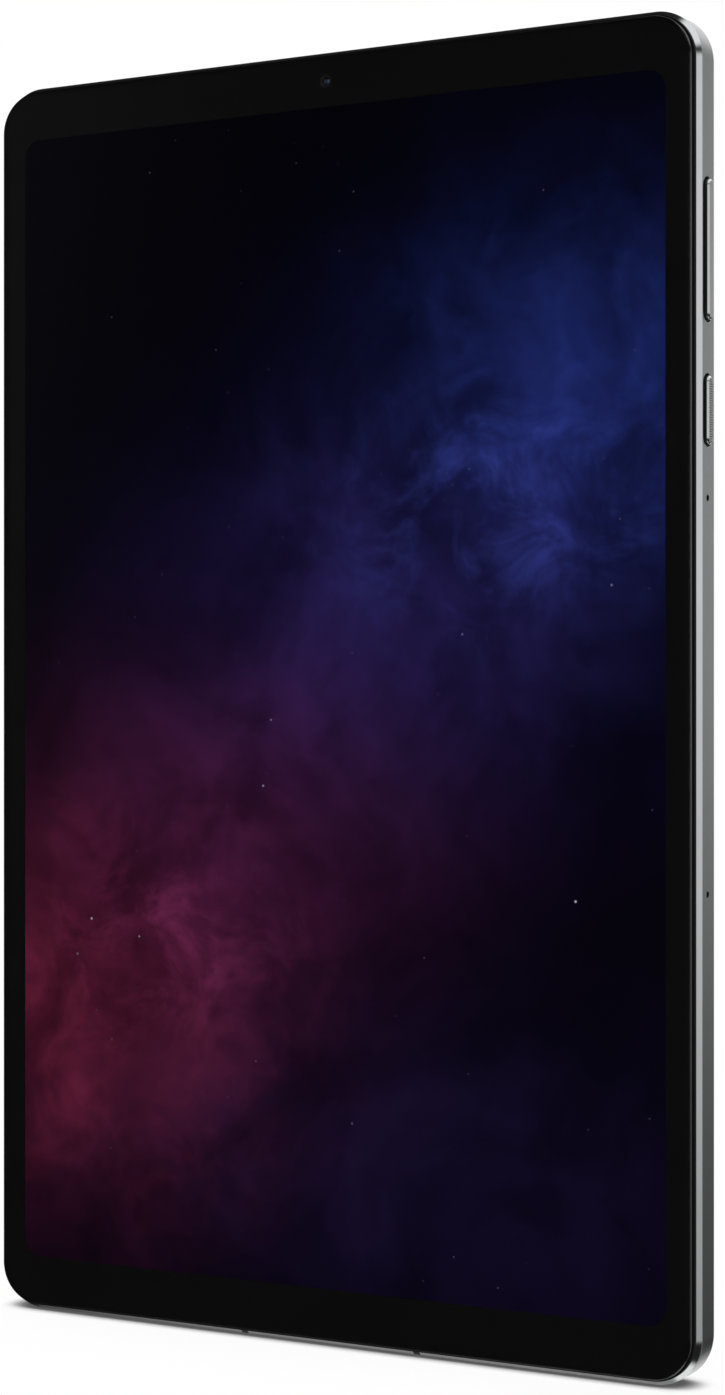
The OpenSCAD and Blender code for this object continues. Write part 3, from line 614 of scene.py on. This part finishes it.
for entry in frame["record"]["subparts"]:
    node = frame["nodes"][entry["node"]]
    node.data.materials.clear()
    node.data.materials.append(finishes[entry["material_slot"]])


# ---------- housing ----------

def outline(inset, y):
    """The body's outline set in by inset, at a depth y."""
    middle = HEIGHT / 2
    points = rounded(HALF_W - inset, middle - inset, max(CORNER_R - inset, 0.4))
    return [Vector((a, y, middle + b)) for a, b in points]


def pill(half_a, half_b):
    """A bar's outline with half-round ends: a rounded rectangle as round as it can be."""
    return rounded(half_a, half_b, min(half_a, half_b) - 1e-4, 12)


def housing_skin():
    """The solid of the housing before its holes: inside wall, rim, chamfer, side and back."""
    outside = fillet([(WALL, RIM_Y), (CHAMFER, RIM_Y), (0, FLAT_FRONT_Y), (0, FLAT_BACK_Y)], 0.05)
    turn = arc((BACK_ROUND, FLAT_BACK_Y), BACK_ROUND, 180, 90, ROUND_STEPS + 4)
    profile = [(WALL, FLOOR_Y)] + outside + turn[1:]
    bands = [1 if b[1] <= FLAT_FRONT_Y + 0.06 else 0 for b in profile[1:]]
    return skin(bmesh.new(), [outline(inset, y) for inset, y in profile], materials=bands)


def capsule(bm, x0, x1, z, length, width, flare=0.0):
    """A bar with half-round ends across a side wall, wider by flare at its outer end x1."""
    out = 1 if x1 > x0 else -1
    stops = [(x0, 0.0), (x1 - out * (1 + flare), 0.0), (x1 - out, flare), (x1, flare)]
    rings = []
    for x, grow in stops if flare else [(x0, 0.0), (x1, 0.0)]:
        shape = pill(width / 2 + grow, length / 2 + grow)
        rings.append([Vector((x, SIDE_Y + a, z + b)) for a, b in shape])
    return skin(bm, rings)


def port_bar(bm, z0, z1, width, height, flare):
    """The same bar through the bottom wall, for the charging socket, wider at its mouth z0."""
    rings = []
    for z, grow in [(z0, flare), (z0 + 1, flare), (z0 + 1 + flare, 0.0), (z1, 0.0)]:
        shape = pill(width / 2 + grow, height / 2 + grow)
        rings.append([Vector((a, SIDE_Y + b, z)) for a, b in shape])
    return skin(bm, rings)


def drilled(bm, place, direction, radius, flare=0.06, steps=24):
    """A hole cutter through a wall: a cylinder that opens a little at the outer face."""
    axis = "x" if abs(direction[0]) else "z" if abs(direction[2]) else "y"
    sign = sum(direction)
    profile = [(radius, -sign * 3.0), (radius, -sign * flare), (radius + flare, 0.0),
               (radius + flare, sign * 1.0)]
    return lathe(bm, place, profile, axis, steps)


key_boxes = {name: box_mm(name) for name in ("volume_key", "power_key")}
bush_low, bush_high = box_mm("key_bushes")
tray_low, tray_high = box_mm("card_tray")
TRAY_Z = (tray_low.z + tray_high.z) / 2
TRAY_LENGTH = tray_high.z - tray_low.z
TRAY_THICK = tray_high.y - tray_low.y
usb_low, usb_high = box_mm("usb_shell")
USB_W = usb_high.x - usb_low.x
USB_H = usb_high.y - usb_low.y


def key_middle(name):
    """Height of the middle of a key."""
    low, high = key_boxes[name]
    return (low.z + high.z) / 2


def key_length(name):
    """Length of the key's face: its box is longer by the flange behind it."""
    low, high = key_boxes[name]
    return high.z - low.z - 2 * FLANGE_OVER


def housing_tools():
    """Everything that is cut out of the housing, one bmesh for each round of cutting."""
    tools = bmesh.new()
    for name in key_boxes:
        capsule(tools, INNER_X - 1, HALF_W + 1, key_middle(name),
                key_length(name) + 2 * KEY_END_GAP, SLOT_W, flare=0.06)
    for z in MIC_HEIGHTS:
        drilled(tools, (HALF_W, SIDE_Y, z), (1, 0, 0), MIC_R, 0.04)
    capsule(tools, 1 - INNER_X, -HALF_W - 1, TRAY_Z, TRAY_LENGTH + 2 * TRAY_GAP,
            TRAY_THICK + 2 * TRAY_GAP, flare=0.04)
    port_bar(tools, -1, WALL + 1, USB_W + 2 * USB_GAP, USB_H + 2 * USB_GAP, flare=0.1)
    for k in range(SOUND_HOLES):
        along = (k - (SOUND_HOLES - 1) / 2) * SOUND_PITCH
        drilled(tools, (SPEAKER_X + along, SIDE_Y, 0), (0, 0, -1), SOUND_HOLE_R)
        drilled(tools, (along - SPEAKER_X, SIDE_Y, HEIGHT), (0, 0, 1), SOUND_HOLE_R)
    for z, radius in CAMERA_HOLES:
        lathe(tools, (ISLAND_X, 0, z), [(radius, FLOOR_Y - 1), (radius, BACK_Y + 1)])
    return tools


island_low, island_high = box_mm("camera_island")
ISLAND_X = (island_low.x + island_high.x) / 2
windows_low, windows_high = box_mm("camera_windows")
flash_low, flash_high = box_mm("flash_lens")
FLASH_Z = (flash_low.z + flash_high.z) / 2
FLASH_R = (flash_high.x - flash_low.x) / 2
MAIN_R = (windows_high.x - windows_low.x) / 2
MAIN_Z = windows_high.z - MAIN_R
macro_low, macro_high = box_mm("macro_camera")
MACRO_Z = (macro_low.z + macro_high.z) / 2
MACRO_R = MACRO_Z - windows_low.z
GLASS_GAP = 0.03
LENS_HOLES = [(MAIN_Z, MAIN_R + GLASS_GAP), (MACRO_Z, MACRO_R + GLASS_GAP)]
CAMERA_HOLES = LENS_HOLES + [(FLASH_Z, FLASH_R + GLASS_GAP)]


def insert_slots(part):
    """Space of the antenna inserts at both ends: wall slots, or the grooves in the back."""
    groove_y = BACK_Y - FLOOR_T / 2
    half = INSERT_W / 2
    tools = bmesh.new()
    for low, sign in ((0.0, 1), (HEIGHT, -1)):
        def up(z):
            """The height that lies z inwards from this end."""
            return low + sign * z
        if part == "walls":
            for x in (-INSERT_X, INSERT_X):
                ends = sorted((up(-1), up(WALL)))
                block(tools, (x - half, RIM_Y - 1, ends[0]), (x + half, groove_y, ends[1]), 0)
        else:
            inner, outer = INSERT_X - half, INSERT_X + half
            shape = [(-outer, -1), (-inner, -1), (-inner, INSERT_REACH - INSERT_W),
                     (inner, INSERT_REACH - INSERT_W), (inner, -1), (outer, -1),
                     (outer, INSERT_REACH), (-outer, INSERT_REACH)]
            rings = [[Vector((x, y, up(z))) for x, z in shape] for y in (groove_y, BACK_Y + 1)]
            skin(tools, rings)
    return tools


def housing():
    """The metal shell with its slots and holes, bright where the chamfer is cut."""
    shell = cut(housing_skin(), insert_slots("walls"))
    shell = cut(shell, insert_slots("back"))
    shell = cut(shell, housing_tools())
    return make_piece("housing_shell", shell, [finishes["anodised_body"], bright_edge], "tablet",
                      ["rear_housing"])


def antenna_inserts():
    """Plastic strips that fill the slots, cut from the same solid as the housing."""
    strips = cut(housing_skin(), insert_slots("walls"), "INTERSECT")
    grooves = cut(housing_skin(), insert_slots("back"), "INTERSECT")
    join(strips, grooves)
    for face in strips.faces:
        face.material_index = 0
    return make_piece("antenna_strips", strips, [finishes["antenna_plastic"]], "tablet",
                      ["antenna_inserts"])


# ---------- front ----------

glass_low, glass_high = box_mm("cover_glass")
GLASS_INSET = HALF_W - glass_high.x
FRONT_Y = glass_low.y
GLASS_BACK_Y = glass_high.y
trim_high = box_mm("trim_ring")[1]
TRIM_INSET = HALF_W - trim_high.x
mask_high = box_mm("bezel_mask")[1]
MASK_INSET = HALF_W - mask_high.x
camera_low, camera_high = box_mm("front_camera")
FRONT_CAMERA_Z = HEIGHT - 4.9
HAIR = 0.01


def cover_glass():
    """Flat glass whose front edge rolls over in a quarter of an ellipse."""
    rings = [outline(GLASS_INSET + 0.06, GLASS_BACK_Y), outline(GLASS_INSET, GLASS_BACK_Y - 0.06)]
    turns = [math.pi / 2 * k / (ROUND_STEPS * 2) for k in range(ROUND_STEPS * 2 + 1)]
    for t in turns:
        inset = GLASS_INSET + GLASS_EDGE_W * (1 - math.cos(t))
        rings.append(outline(inset, FRONT_Y + GLASS_EDGE_H * (1 - math.sin(t))))
    ground = [1, 1] + [1 if t < math.radians(40) else 0 for t in turns[1:]]
    bm = skin(bmesh.new(), rings, materials=ground)
    return make_piece("glass_pane", bm, [finishes["cover_glass"], ground_edge], "tablet",
                      ["cover_glass"], sharp=60)


def trim_ring():
    """Black ring that carries the glass and fills the step inside the chamfer."""
    profile = [(TRIM_INSET + 1.6, RIM_Y), (TRIM_INSET, RIM_Y), (TRIM_INSET, mask_high.y + 0.02),
               (TRIM_INSET + 1.6, mask_high.y + 0.02)]
    soft = fillet(profile, 0.08)
    bm = skin(bmesh.new(), [outline(i, y) for i, y in soft + [soft[0]]], caps=False)
    return make_piece("glass_trim", merge_rings(bm), [finishes["trim_black"]], "tablet",
                      ["trim_ring"])


def picture_outline(y):
    """The edge of the lit picture, at a depth y."""
    points = rounded(PICTURE_W / 2, PICTURE_H / 2, PICTURE_R)
    return [Vector((a, y, HEIGHT / 2 + b)) for a, b in points]


def bezel_mask():
    """The black border printed behind the glass, open over the picture and the front camera."""
    front, back = GLASS_BACK_Y + HAIR, mask_high.y
    bm = skin(bmesh.new(), [outline(MASK_INSET, y) for y in (front, back)])
    tools = skin(bmesh.new(), [picture_outline(y) for y in (-5, 0)])
    lathe(tools, (0, 0, FRONT_CAMERA_Z), [(LENS_R, -5), (LENS_R, 0)])
    bm = cut(bm, tools)
    return make_piece("black_border", bm, [finishes["black_film"]], "tablet",
                      ["bezel_mask"])


def adhesive():
    """The clear layer between the glass and the panel, over the picture."""
    back = box_mm("optical_adhesive")[1].y - HAIR
    bm = skin(bmesh.new(), [picture_outline(y) for y in (mask_high.y + HAIR, back)])
    return make_piece("clear_adhesive", bm, [finishes["clear_adhesive"]], "tablet",
                      ["optical_adhesive"])


def front_camera():
    """Stepped black barrel with a small domed lens, seen through the hole in the border."""
    low, high = camera_low, camera_high
    top = mask_high.y + 0.03
    middle = (0, 0, FRONT_CAMERA_Z)
    bm = bmesh.new()
    block(bm, (low.x, low.y + 1.8, low.z), (high.x, high.y, high.z), 0.2)
    barrel = [(1.75, low.y + 2.2), (1.75, top + 0.1), (1.65, top), (0.84, top), (0.78, top + 0.06),
              (0.74, top + 0.3), (0.66, top + 0.42), (0.64, top + 0.7)]
    lathe(bm, middle, barrel)
    lens_r, crown, seat = 0.66, 0.5, top + 0.62
    turns = [math.radians(6 * i) for i in range(1, 15)]
    dome = [(0.0001, seat - crown)]
    dome += [(lens_r * math.sin(t), seat - crown * math.cos(t)) for t in turns]
    dome += [(lens_r, seat + 0.06), (0.0001, seat + 0.06)]
    lathe(bm, middle, dome, material=1)
    return make_piece("front_camera_module", bm, [camera_rim, front_lens], "tablet",
                      ["front_camera"])


# ---------- side keys ----------

def key_bushes():
    """Black guides set in the housing's wall round both keys."""
    bm = bmesh.new()
    for name in key_boxes:
        slot = (SLOT_W / 2 - HAIR, key_length(name) / 2 + KEY_END_GAP - HAIR)
        hole = (KEY_W / 2 + KEY_CLEAR, key_length(name) / 2 + KEY_CLEAR)
        soft = 0.06
        stops = [(slot, 0, bush_low.x), (slot, 0, bush_high.x - soft), (slot, -soft, bush_high.x),
                 (hole, soft, bush_high.x), (hole, 0, bush_high.x - soft), (hole, 0, bush_low.x)]
        rings = []
        for (half_w, half_l), grow, x in stops + [stops[0]]:
            shape = pill(half_w + grow, half_l + grow)
            rings.append([Vector((x, SIDE_Y + a, key_middle(name) + b)) for a, b in shape])
        skin(bm, rings, caps=False)
    return make_piece("key_guides", merge_rings(bm), [finishes["black_plastic"]], "tablet",
                      ["key_bushes"])


def knurl(bm, face_x, middle, length):
    """Rows of tiny four-sided points over a key's face."""
    half_l, half_w = length / 2 - KEY_BEVEL, KEY_W / 2 - KEY_BEVEL
    rows = int(2 * half_l / KNURL_PITCH)
    columns = int(2 * half_w / KNURL_PITCH)
    for i in range(rows):
        for j in range(columns):
            up = (i - (rows - 1) / 2) * KNURL_PITCH
            side = (j - (columns - 1) / 2 + (i % 2) * 0.5 - 0.25) * KNURL_PITCH
            past_end = max(abs(up) - (half_l - half_w), 0.0)
            if math.hypot(past_end, side) < half_w - KNURL_R * 0.7:
                place = (face_x, SIDE_Y + side, middle + up)
                point = [(KNURL_R, -0.05), (KNURL_R, 0.0), (KNURL_R * 0.25, KNURL_H)]
                lathe(bm, place, point, axis="x", steps=4)
    return bm


def key_piece(name, body, pegs, knurled=False):
    """A key: a bar with a bright bevel, a flange behind the wall and pegs on the switches."""
    low, high = key_boxes[name]
    middle, length = key_middle(name), key_length(name)
    face_x = high.x - (KNURL_H if knurled else 0)
    flange_in, flange_out, overlap = HALF_W - 2.45, HALF_W - 2.0, 0.1
    peg_r, peg_end = 0.6, flange_in + 0.05
    profile = fillet([(0.0, flange_out - overlap), (0.0, face_x - KEY_BEVEL), (KEY_BEVEL, face_x),
                      (KEY_BEVEL + 0.2, face_x)], 0.05)
    rings = []
    for inset, x in profile:
        shape = pill(KEY_W / 2 - inset, length / 2 - inset)
        rings.append([Vector((x, SIDE_Y + a, middle + b)) for a, b in shape])
    bands = [1 if b[1] > face_x - KEY_BEVEL - 0.04 and a[0] < KEY_BEVEL else 0
             for a, b in zip(profile, profile[1:])]
    bm = skin(bmesh.new(), rings, materials=bands)
    if knurled:
        knurl(bm, face_x, middle, length)
    block(bm, (flange_in, low.y, low.z), (flange_out, high.y, high.z), 0.06)
    peg = [(peg_r - 0.1, low.x), (peg_r, low.x + 0.1), (peg_r, peg_end)]
    for along in pegs:
        lathe(bm, (0, SIDE_Y, middle + along), peg, axis="x", steps=24)
    return make_piece(name + "_cap", bm, [finishes["anodised_key"], key_edge], body,
                      [name])


# ---------- ports ----------

def usb_socket():
    """Drawn steel shell with a rolled lip."""
    mouth, end = usb_low.z, usb_high.z
    stops = [(0.0, end - 0.1), (0.0, mouth + 0.1), (0.04, mouth + 0.02), (0.12, mouth),
             (USB_WALL - 0.05, mouth + 0.02), (USB_WALL, mouth + 0.12), (USB_WALL, end - USB_WALL)]
    rings = []
    for inset, z in stops:
        shape = pill(USB_W / 2 - inset, USB_H / 2 - inset)
        rings.append([Vector((a, SIDE_Y + b, z)) for a, b in shape])
    outer = rings[0]
    rings.insert(0, [Vector((p.x * 0.98, SIDE_Y + (p.y - SIDE_Y) * 0.94, end)) for p in outer])
    return make_piece("usb_socket_shell", skin(bmesh.new(), rings), [finishes["socket_steel"]],
                      "tablet", ["usb_shell"])


def usb_tongue():
    """The contact tongue with a row of gold contacts on each side."""
    low, high = box_mm("usb_tongue")
    half_w, half_t, foot = 3.35, 0.35, 1.2
    contacts, pitch, wide, proud = 12, 0.5, 0.26, 0.03
    contact_low, contact_high = low.z + 0.4, low.z + 3.9
    bm = bmesh.new()
    block(bm, (-half_w, SIDE_Y - half_t, low.z), (half_w, SIDE_Y + half_t, high.z), 0.12)
    block(bm, (low.x, low.y, high.z - foot), (high.x, high.y, high.z), 0.1)
    for k in range(contacts):
        x = (k - (contacts - 1) / 2) * pitch
        for side in (-1, 1):
            y = SIDE_Y + side * half_t
            block(bm, (x - wide / 2, y - proud, contact_low),
                  (x + wide / 2, y + proud, contact_high), 0.01, 1)
    return make_piece("usb_contact_tongue", bm, [finishes["black_plastic"], finishes["contact_gold"]],
                      "tablet", ["usb_tongue"])


def card_tray():
    """The tray's outer bar with its pin hole, and the frame that holds the card."""
    bar_t, bed_half, bed_half_t = 1.1, 6.3, 0.5
    card_x, card_long, card_half, ledge = tray_low.x + 2.3, 15.0, 5.5, 1.0
    pin_z, pin_r = TRAY_Z + TRAY_LENGTH / 2 - 2, 0.45
    bm = capsule(bmesh.new(), tray_low.x + bar_t, tray_low.x, TRAY_Z, TRAY_LENGTH, TRAY_THICK)
    block(bm, (tray_low.x + bar_t - 0.05, SIDE_Y - bed_half_t, TRAY_Z - bed_half),
          (tray_high.x, SIDE_Y + bed_half_t, TRAY_Z + bed_half), 0.08)
    tools = bmesh.new()
    block(tools, (card_x, SIDE_Y - 1, TRAY_Z - card_half),
          (card_x + card_long, SIDE_Y + 0.2, TRAY_Z + card_half), 0)
    block(tools, (card_x + ledge, SIDE_Y, TRAY_Z - card_half + ledge),
          (card_x + card_long - ledge, SIDE_Y + 1, TRAY_Z + card_half - ledge), 0)
    drilled(tools, (tray_low.x, SIDE_Y, pin_z), (-1, 0, 0), pin_r, 0.04)
    return make_piece("card_drawer_tray", cut(bm, tools), [finishes["anodised_body"]],
                      "card_drawer", ["card_tray"])


# ---------- rear cameras ----------

def camera_island():
    """Raised block with a rounded edge and wells for the lenses and the flash."""
    half_w = (island_high.x - island_low.x) / 2
    half_h = (island_high.z - island_low.z) / 2
    middle = (island_low.z + island_high.z) / 2
    top = island_high.y
    edge_r, corner_r = 0.35, 5.0
    profile = [(0.0, BACK_Y - 0.02), (0.0, top - edge_r)]
    profile += [(edge_r * (1 - math.cos(t)), top - edge_r + edge_r * math.sin(t))
                for t in (0.2, 0.45, 0.7, 0.95, 1.2, 1.4, math.pi / 2)]
    rings = []
    for inset, y in profile:
        shape = rounded(half_w - inset, half_h - inset, corner_r - inset)
        rings.append([Vector((ISLAND_X + a, y, middle + b)) for a, b in shape])
    bm = skin(bmesh.new(), rings)
    tools = bmesh.new()
    for z, radius in LENS_HOLES:
        lathe(tools, (ISLAND_X, 0, z), [(radius + 0.7, BACK_Y - 1), (radius + 0.7, top + 1)])
    lathe(tools, (ISLAND_X, 0, FLASH_Z), [(FLASH_R + 0.08, BACK_Y - 1), (FLASH_R + 0.08, top + 1)])
    return make_piece("camera_block", cut(bm, tools), [finishes["anodised_body"]], "tablet",
                      ["camera_island"])


def lens_rings():
    """Turned rings with a bevelled crown and a step inside."""
    crown = box_mm("lens_rings")[1].y
    seat = BACK_Y + WINDOW_DEPTH
    bm = bmesh.new()
    for z, radius in LENS_HOLES:
        outer, inner = radius + 0.67, radius
        profile = [(inner - 0.6, BACK_Y), (outer, BACK_Y), (outer, crown - 0.12), (outer - 0.1, crown),
                   (inner + 0.3, crown), (inner + 0.08, crown - 0.2), (inner, crown - 0.22),
                   (inner, seat), (inner - 0.6, seat)]
        tube(bm, (ISLAND_X, 0, z), profile)
    return make_piece("lens_bezels", merge_rings(bm), [finishes["polished_ring"]], "tablet",
                      ["lens_rings"])


def camera_windows():
    """A flat glass over each lens, with a softened front edge."""
    bm = bmesh.new()
    seat = BACK_Y + WINDOW_DEPTH
    for z, radius in ((MAIN_Z, MAIN_R), (MACRO_Z, MACRO_R)):
        profile = [(radius, seat + HAIR), (radius, seat + 0.24), (radius - 0.06, seat + 0.3)]
        lathe(bm, (ISLAND_X, 0, z), profile)
    return make_piece("lens_covers", bm, [finishes["camera_glass"]], "tablet",
                      ["camera_windows"])


def lens_stack(bm, z, outer, front_y, depth):
    """Stepped black baffles down to a domed lens, as the inside of a camera looks."""
    step, throat, floor = 0.22, outer * 0.46, 0.3
    steps = [(outer, front_y - depth), (outer, front_y - 0.05), (outer - 0.05, front_y)]
    radius, y = outer * 0.80, front_y
    while radius > outer * 0.5:
        steps += [(radius, y), (radius - 0.04, y - step)]
        radius -= outer * 0.12
        y -= step
    steps += [(throat, y), (throat, y - floor)]
    lathe(bm, (ISLAND_X, 0, z), steps)
    glass_r, bulge = outer * 0.47, outer * 0.2
    dome = [(glass_r * math.sin(t), y - floor / 2 + bulge * (math.cos(t) - 0.2))
            for t in (1.5, 1.3, 1.1, 0.9, 0.7, 0.5, 0.3, 0.12, 0.0005)]
    lathe(bm, (ISLAND_X, 0, z), [(0.0001, y - floor), (glass_r, y - floor)] + dome, material=1)
    return bm


def main_lens():
    """The main camera's lens barrel, which moves to focus."""
    low, high = box_mm("focus_barrel")
    bm = lens_stack(bmesh.new(), MAIN_Z, (high.x - low.x) / 2, high.y, high.y - low.y)
    return make_piece("main_lens_group", bm, [finishes["camera_black"], deep_lens],
                      "focus_group", ["focus_barrel"])


def macro_lens():
    """The small fixed camera: its lens on a square body."""
    lens_r, lens_t = 1.9, 1.2
    bm = lens_stack(bmesh.new(), MACRO_Z, lens_r, macro_high.y, lens_t)
    block(bm, macro_low, (macro_high.x, macro_high.y - lens_t + 0.1, macro_high.z), 0.2)
    return make_piece("macro_camera_module", bm, [finishes["camera_black"], deep_lens],
                      "tablet", ["macro_camera"])


def flash_lens():
    """A frosted disc with fine Fresnel steps on its inner side."""
    y0, y1 = flash_low.y, flash_high.y
    steps = [(FLASH_R, y1 - 0.08), (FLASH_R, y0)]
    count = 6
    for k in range(count):
        radius = FLASH_R * (1 - (k + 0.5) / count)
        steps += [(radius + 0.12, y0), (radius, y0 + 0.1)]
    profile = [(0.0001, y1), (FLASH_R - 0.08, y1)] + steps
    bm = lathe(bmesh.new(), (ISLAND_X, 0, FLASH_Z), profile)
    return make_piece("flash_cover", bm, [finishes["flash_plastic"]], "tablet",
                      ["flash_lens"])


housing()
antenna_inserts()
cover_glass()
trim_ring()
bezel_mask()
adhesive()
front_camera()
key_bushes()
key_piece("volume_key", "volume_rocker", (-7, 7))
key_piece("power_key", "power_button", (0,), knurled=True)
usb_socket()
usb_tongue()
card_tray()
camera_island()
lens_rings()
camera_windows()
main_lens()
macro_lens()
flash_lens()


# ---------- studio: floor, light and camera ----------

def studio_floor():
    """A plain pale table top that glows evenly white, with a soft shadow painted into its glow where
    something stands on it. Reflections show the studio's light instead of it."""
    bm = bmesh.new()
    bmesh.ops.create_circle(bm, cap_ends=True, radius=8.0, segments=64)
    mesh = bpy.data.meshes.new("floor")
    bm.to_mesh(mesh)
    bm.free()
    f = Finish("pale_floor_painted_shadow", roughness=0.8, specular_ior_level=0.0, base_color=(0, 0, 0, 1))

    def open_sky(reach):
        """The share of the sky that nothing within reach millimetres covers."""
        made = f.node("ShaderNodeAmbientOcclusion", samples=8)
        made.inputs["Distance"].default_value = reach * MM
        return Wire(f, made.outputs["AO"])

    # Painted shadow: the floor's glow is darkened where nearby parts cover its sky, strongly within a
    # few millimetres and faintly further out.
    contact = f.smooth(open_sky(4.5), 0.25, 0.80) * 0.9 + 0.1
    painted_wide_shade = f.smooth(open_sky(40), 0.3, 1.0) * 0.04 + 0.96
    f.set("emission_color", f.mix(contact * painted_wide_shade, (0, 0, 0, 1), (1, 1, 1, 1)))
    f.set("emission_strength", 1.0)
    mesh.materials.append(f.material)
    floor = bpy.data.objects.new("floor", mesh)
    bpy.context.scene.collection.objects.link(floor)
    floor.visible_glossy = False
    floor.visible_transmission = False
    return floor


def backdrop():
    """A white backdrop. What lights the tablet is soft and even, and dimmer towards the front."""
    world = bpy.data.worlds.new("studio")
    bpy.context.scene.world = world
    world.use_nodes = True
    g = Graph(world.node_tree)
    shade = world.node_tree.nodes["Background"]
    coords = g.node("ShaderNodeTexCoord")
    direction = Wire(g, coords.outputs["Generated"])

    split = g.node("ShaderNodeSeparateXYZ")
    g.feed(split.inputs[0], direction)
    across, up = Wire(g, split.outputs[0]), Wire(g, split.outputs[2])

    def towards(aim, low, high):
        """1 in the direction of aim, fading to 0 away from it, by cosines high and low."""
        unit = Vector(aim).normalized()
        return g.smooth(g.vector("DOT_PRODUCT", direction, tuple(unit), output=1), low, high)

    softbox = towards((0.87, -0.49, 0), 0.5, 0.85) * (g.smooth(up, -0.25, 0.05) * 0.34 + 0.36)
    softbox = softbox * g.smooth(up, -0.32, -0.23) * g.smooth(up, 0.38, 0.22)
    ceiling = g.smooth(up, 0.42, 0.58) * g.smooth(across, 0.12, 0.30) * 0.9
    ground = g.smooth(up, -0.72, -0.86) * (g.smooth(across, -0.05, 0.12) * 0.7 + 0.25)
    ground = ground * (g.smooth(across, -0.60, -0.52) * 0.85 + 0.15)
    back_wall = towards((0.49, 0.87, 0), 0.55, 0.92) * g.smooth(up, -0.19, 0.06) * 0.97
    back_wall = back_wall * (1 - g.smooth(up, 0.02, 0.35) * 0.65)
    back_top = towards((-0.08, 0.89, 0.45), 0.915, 0.98) * 1.7
    back_low = towards((-0.20, 0.88, -0.43), 0.945, 0.98) * 2.0
    left_wall = towards((-0.95, -0.30, 0.20), 0.75, 0.97) * 0.3
    side_low = towards((0.76, 0.52, -0.39), 0.93, 0.975) * 0.5
    walls = softbox + back_wall + left_wall + side_low
    level = walls + ceiling + ground + back_top + back_low + 0.015
    seen = Wire(g, g.node("ShaderNodeLightPath").outputs["Is Camera Ray"])
    shade.inputs["Color"].default_value = (1, 1, 1, 1)
    g.feed(shade.inputs["Strength"], level * (1 - seen) + seen)


def soft_light(name, place, aim, size, watts):
    """A soft square lamp. It doesn't show in reflections."""
    data = bpy.data.lights.new(name, "AREA")
    data.shape = "RECTANGLE"
    data.size, data.size_y = size
    data.energy = watts
    lamp = bpy.data.objects.new(name, data)
    lamp.location = place
    lamp.rotation_euler = (Vector(aim) - Vector(place)).to_track_quat("-Z", "Y").to_euler()
    lamp.visible_glossy = False
    bpy.context.scene.collection.objects.link(lamp)
    return lamp


def camera():
    """The eye is level with the middle of the body, to the right of the screen's front."""
    azimuth, distance, target = math.radians(29.46), 0.4721, Vector((0.0038, 0.0021, 0.10434))
    data = bpy.data.cameras.new("camera")
    data.lens = 75.19
    data.sensor_width = 36.0
    data.clip_start = 0.01
    eye = bpy.data.objects.new("camera", data)
    eye.location = target + distance * Vector((math.sin(azimuth), -math.cos(azimuth), 0))
    eye.rotation_euler = (math.pi / 2, 0, azimuth)
    bpy.context.scene.collection.objects.link(eye)
    bpy.context.scene.camera = eye


studio_floor()
backdrop()
middle = (0.0, 0.0, 0.12)
soft_light("back_left", (-0.6, 0.8, 0.5), middle, (0.6, 0.6), 4.0)
camera()
bpy.context.scene.view_settings.view_transform = "Standard"
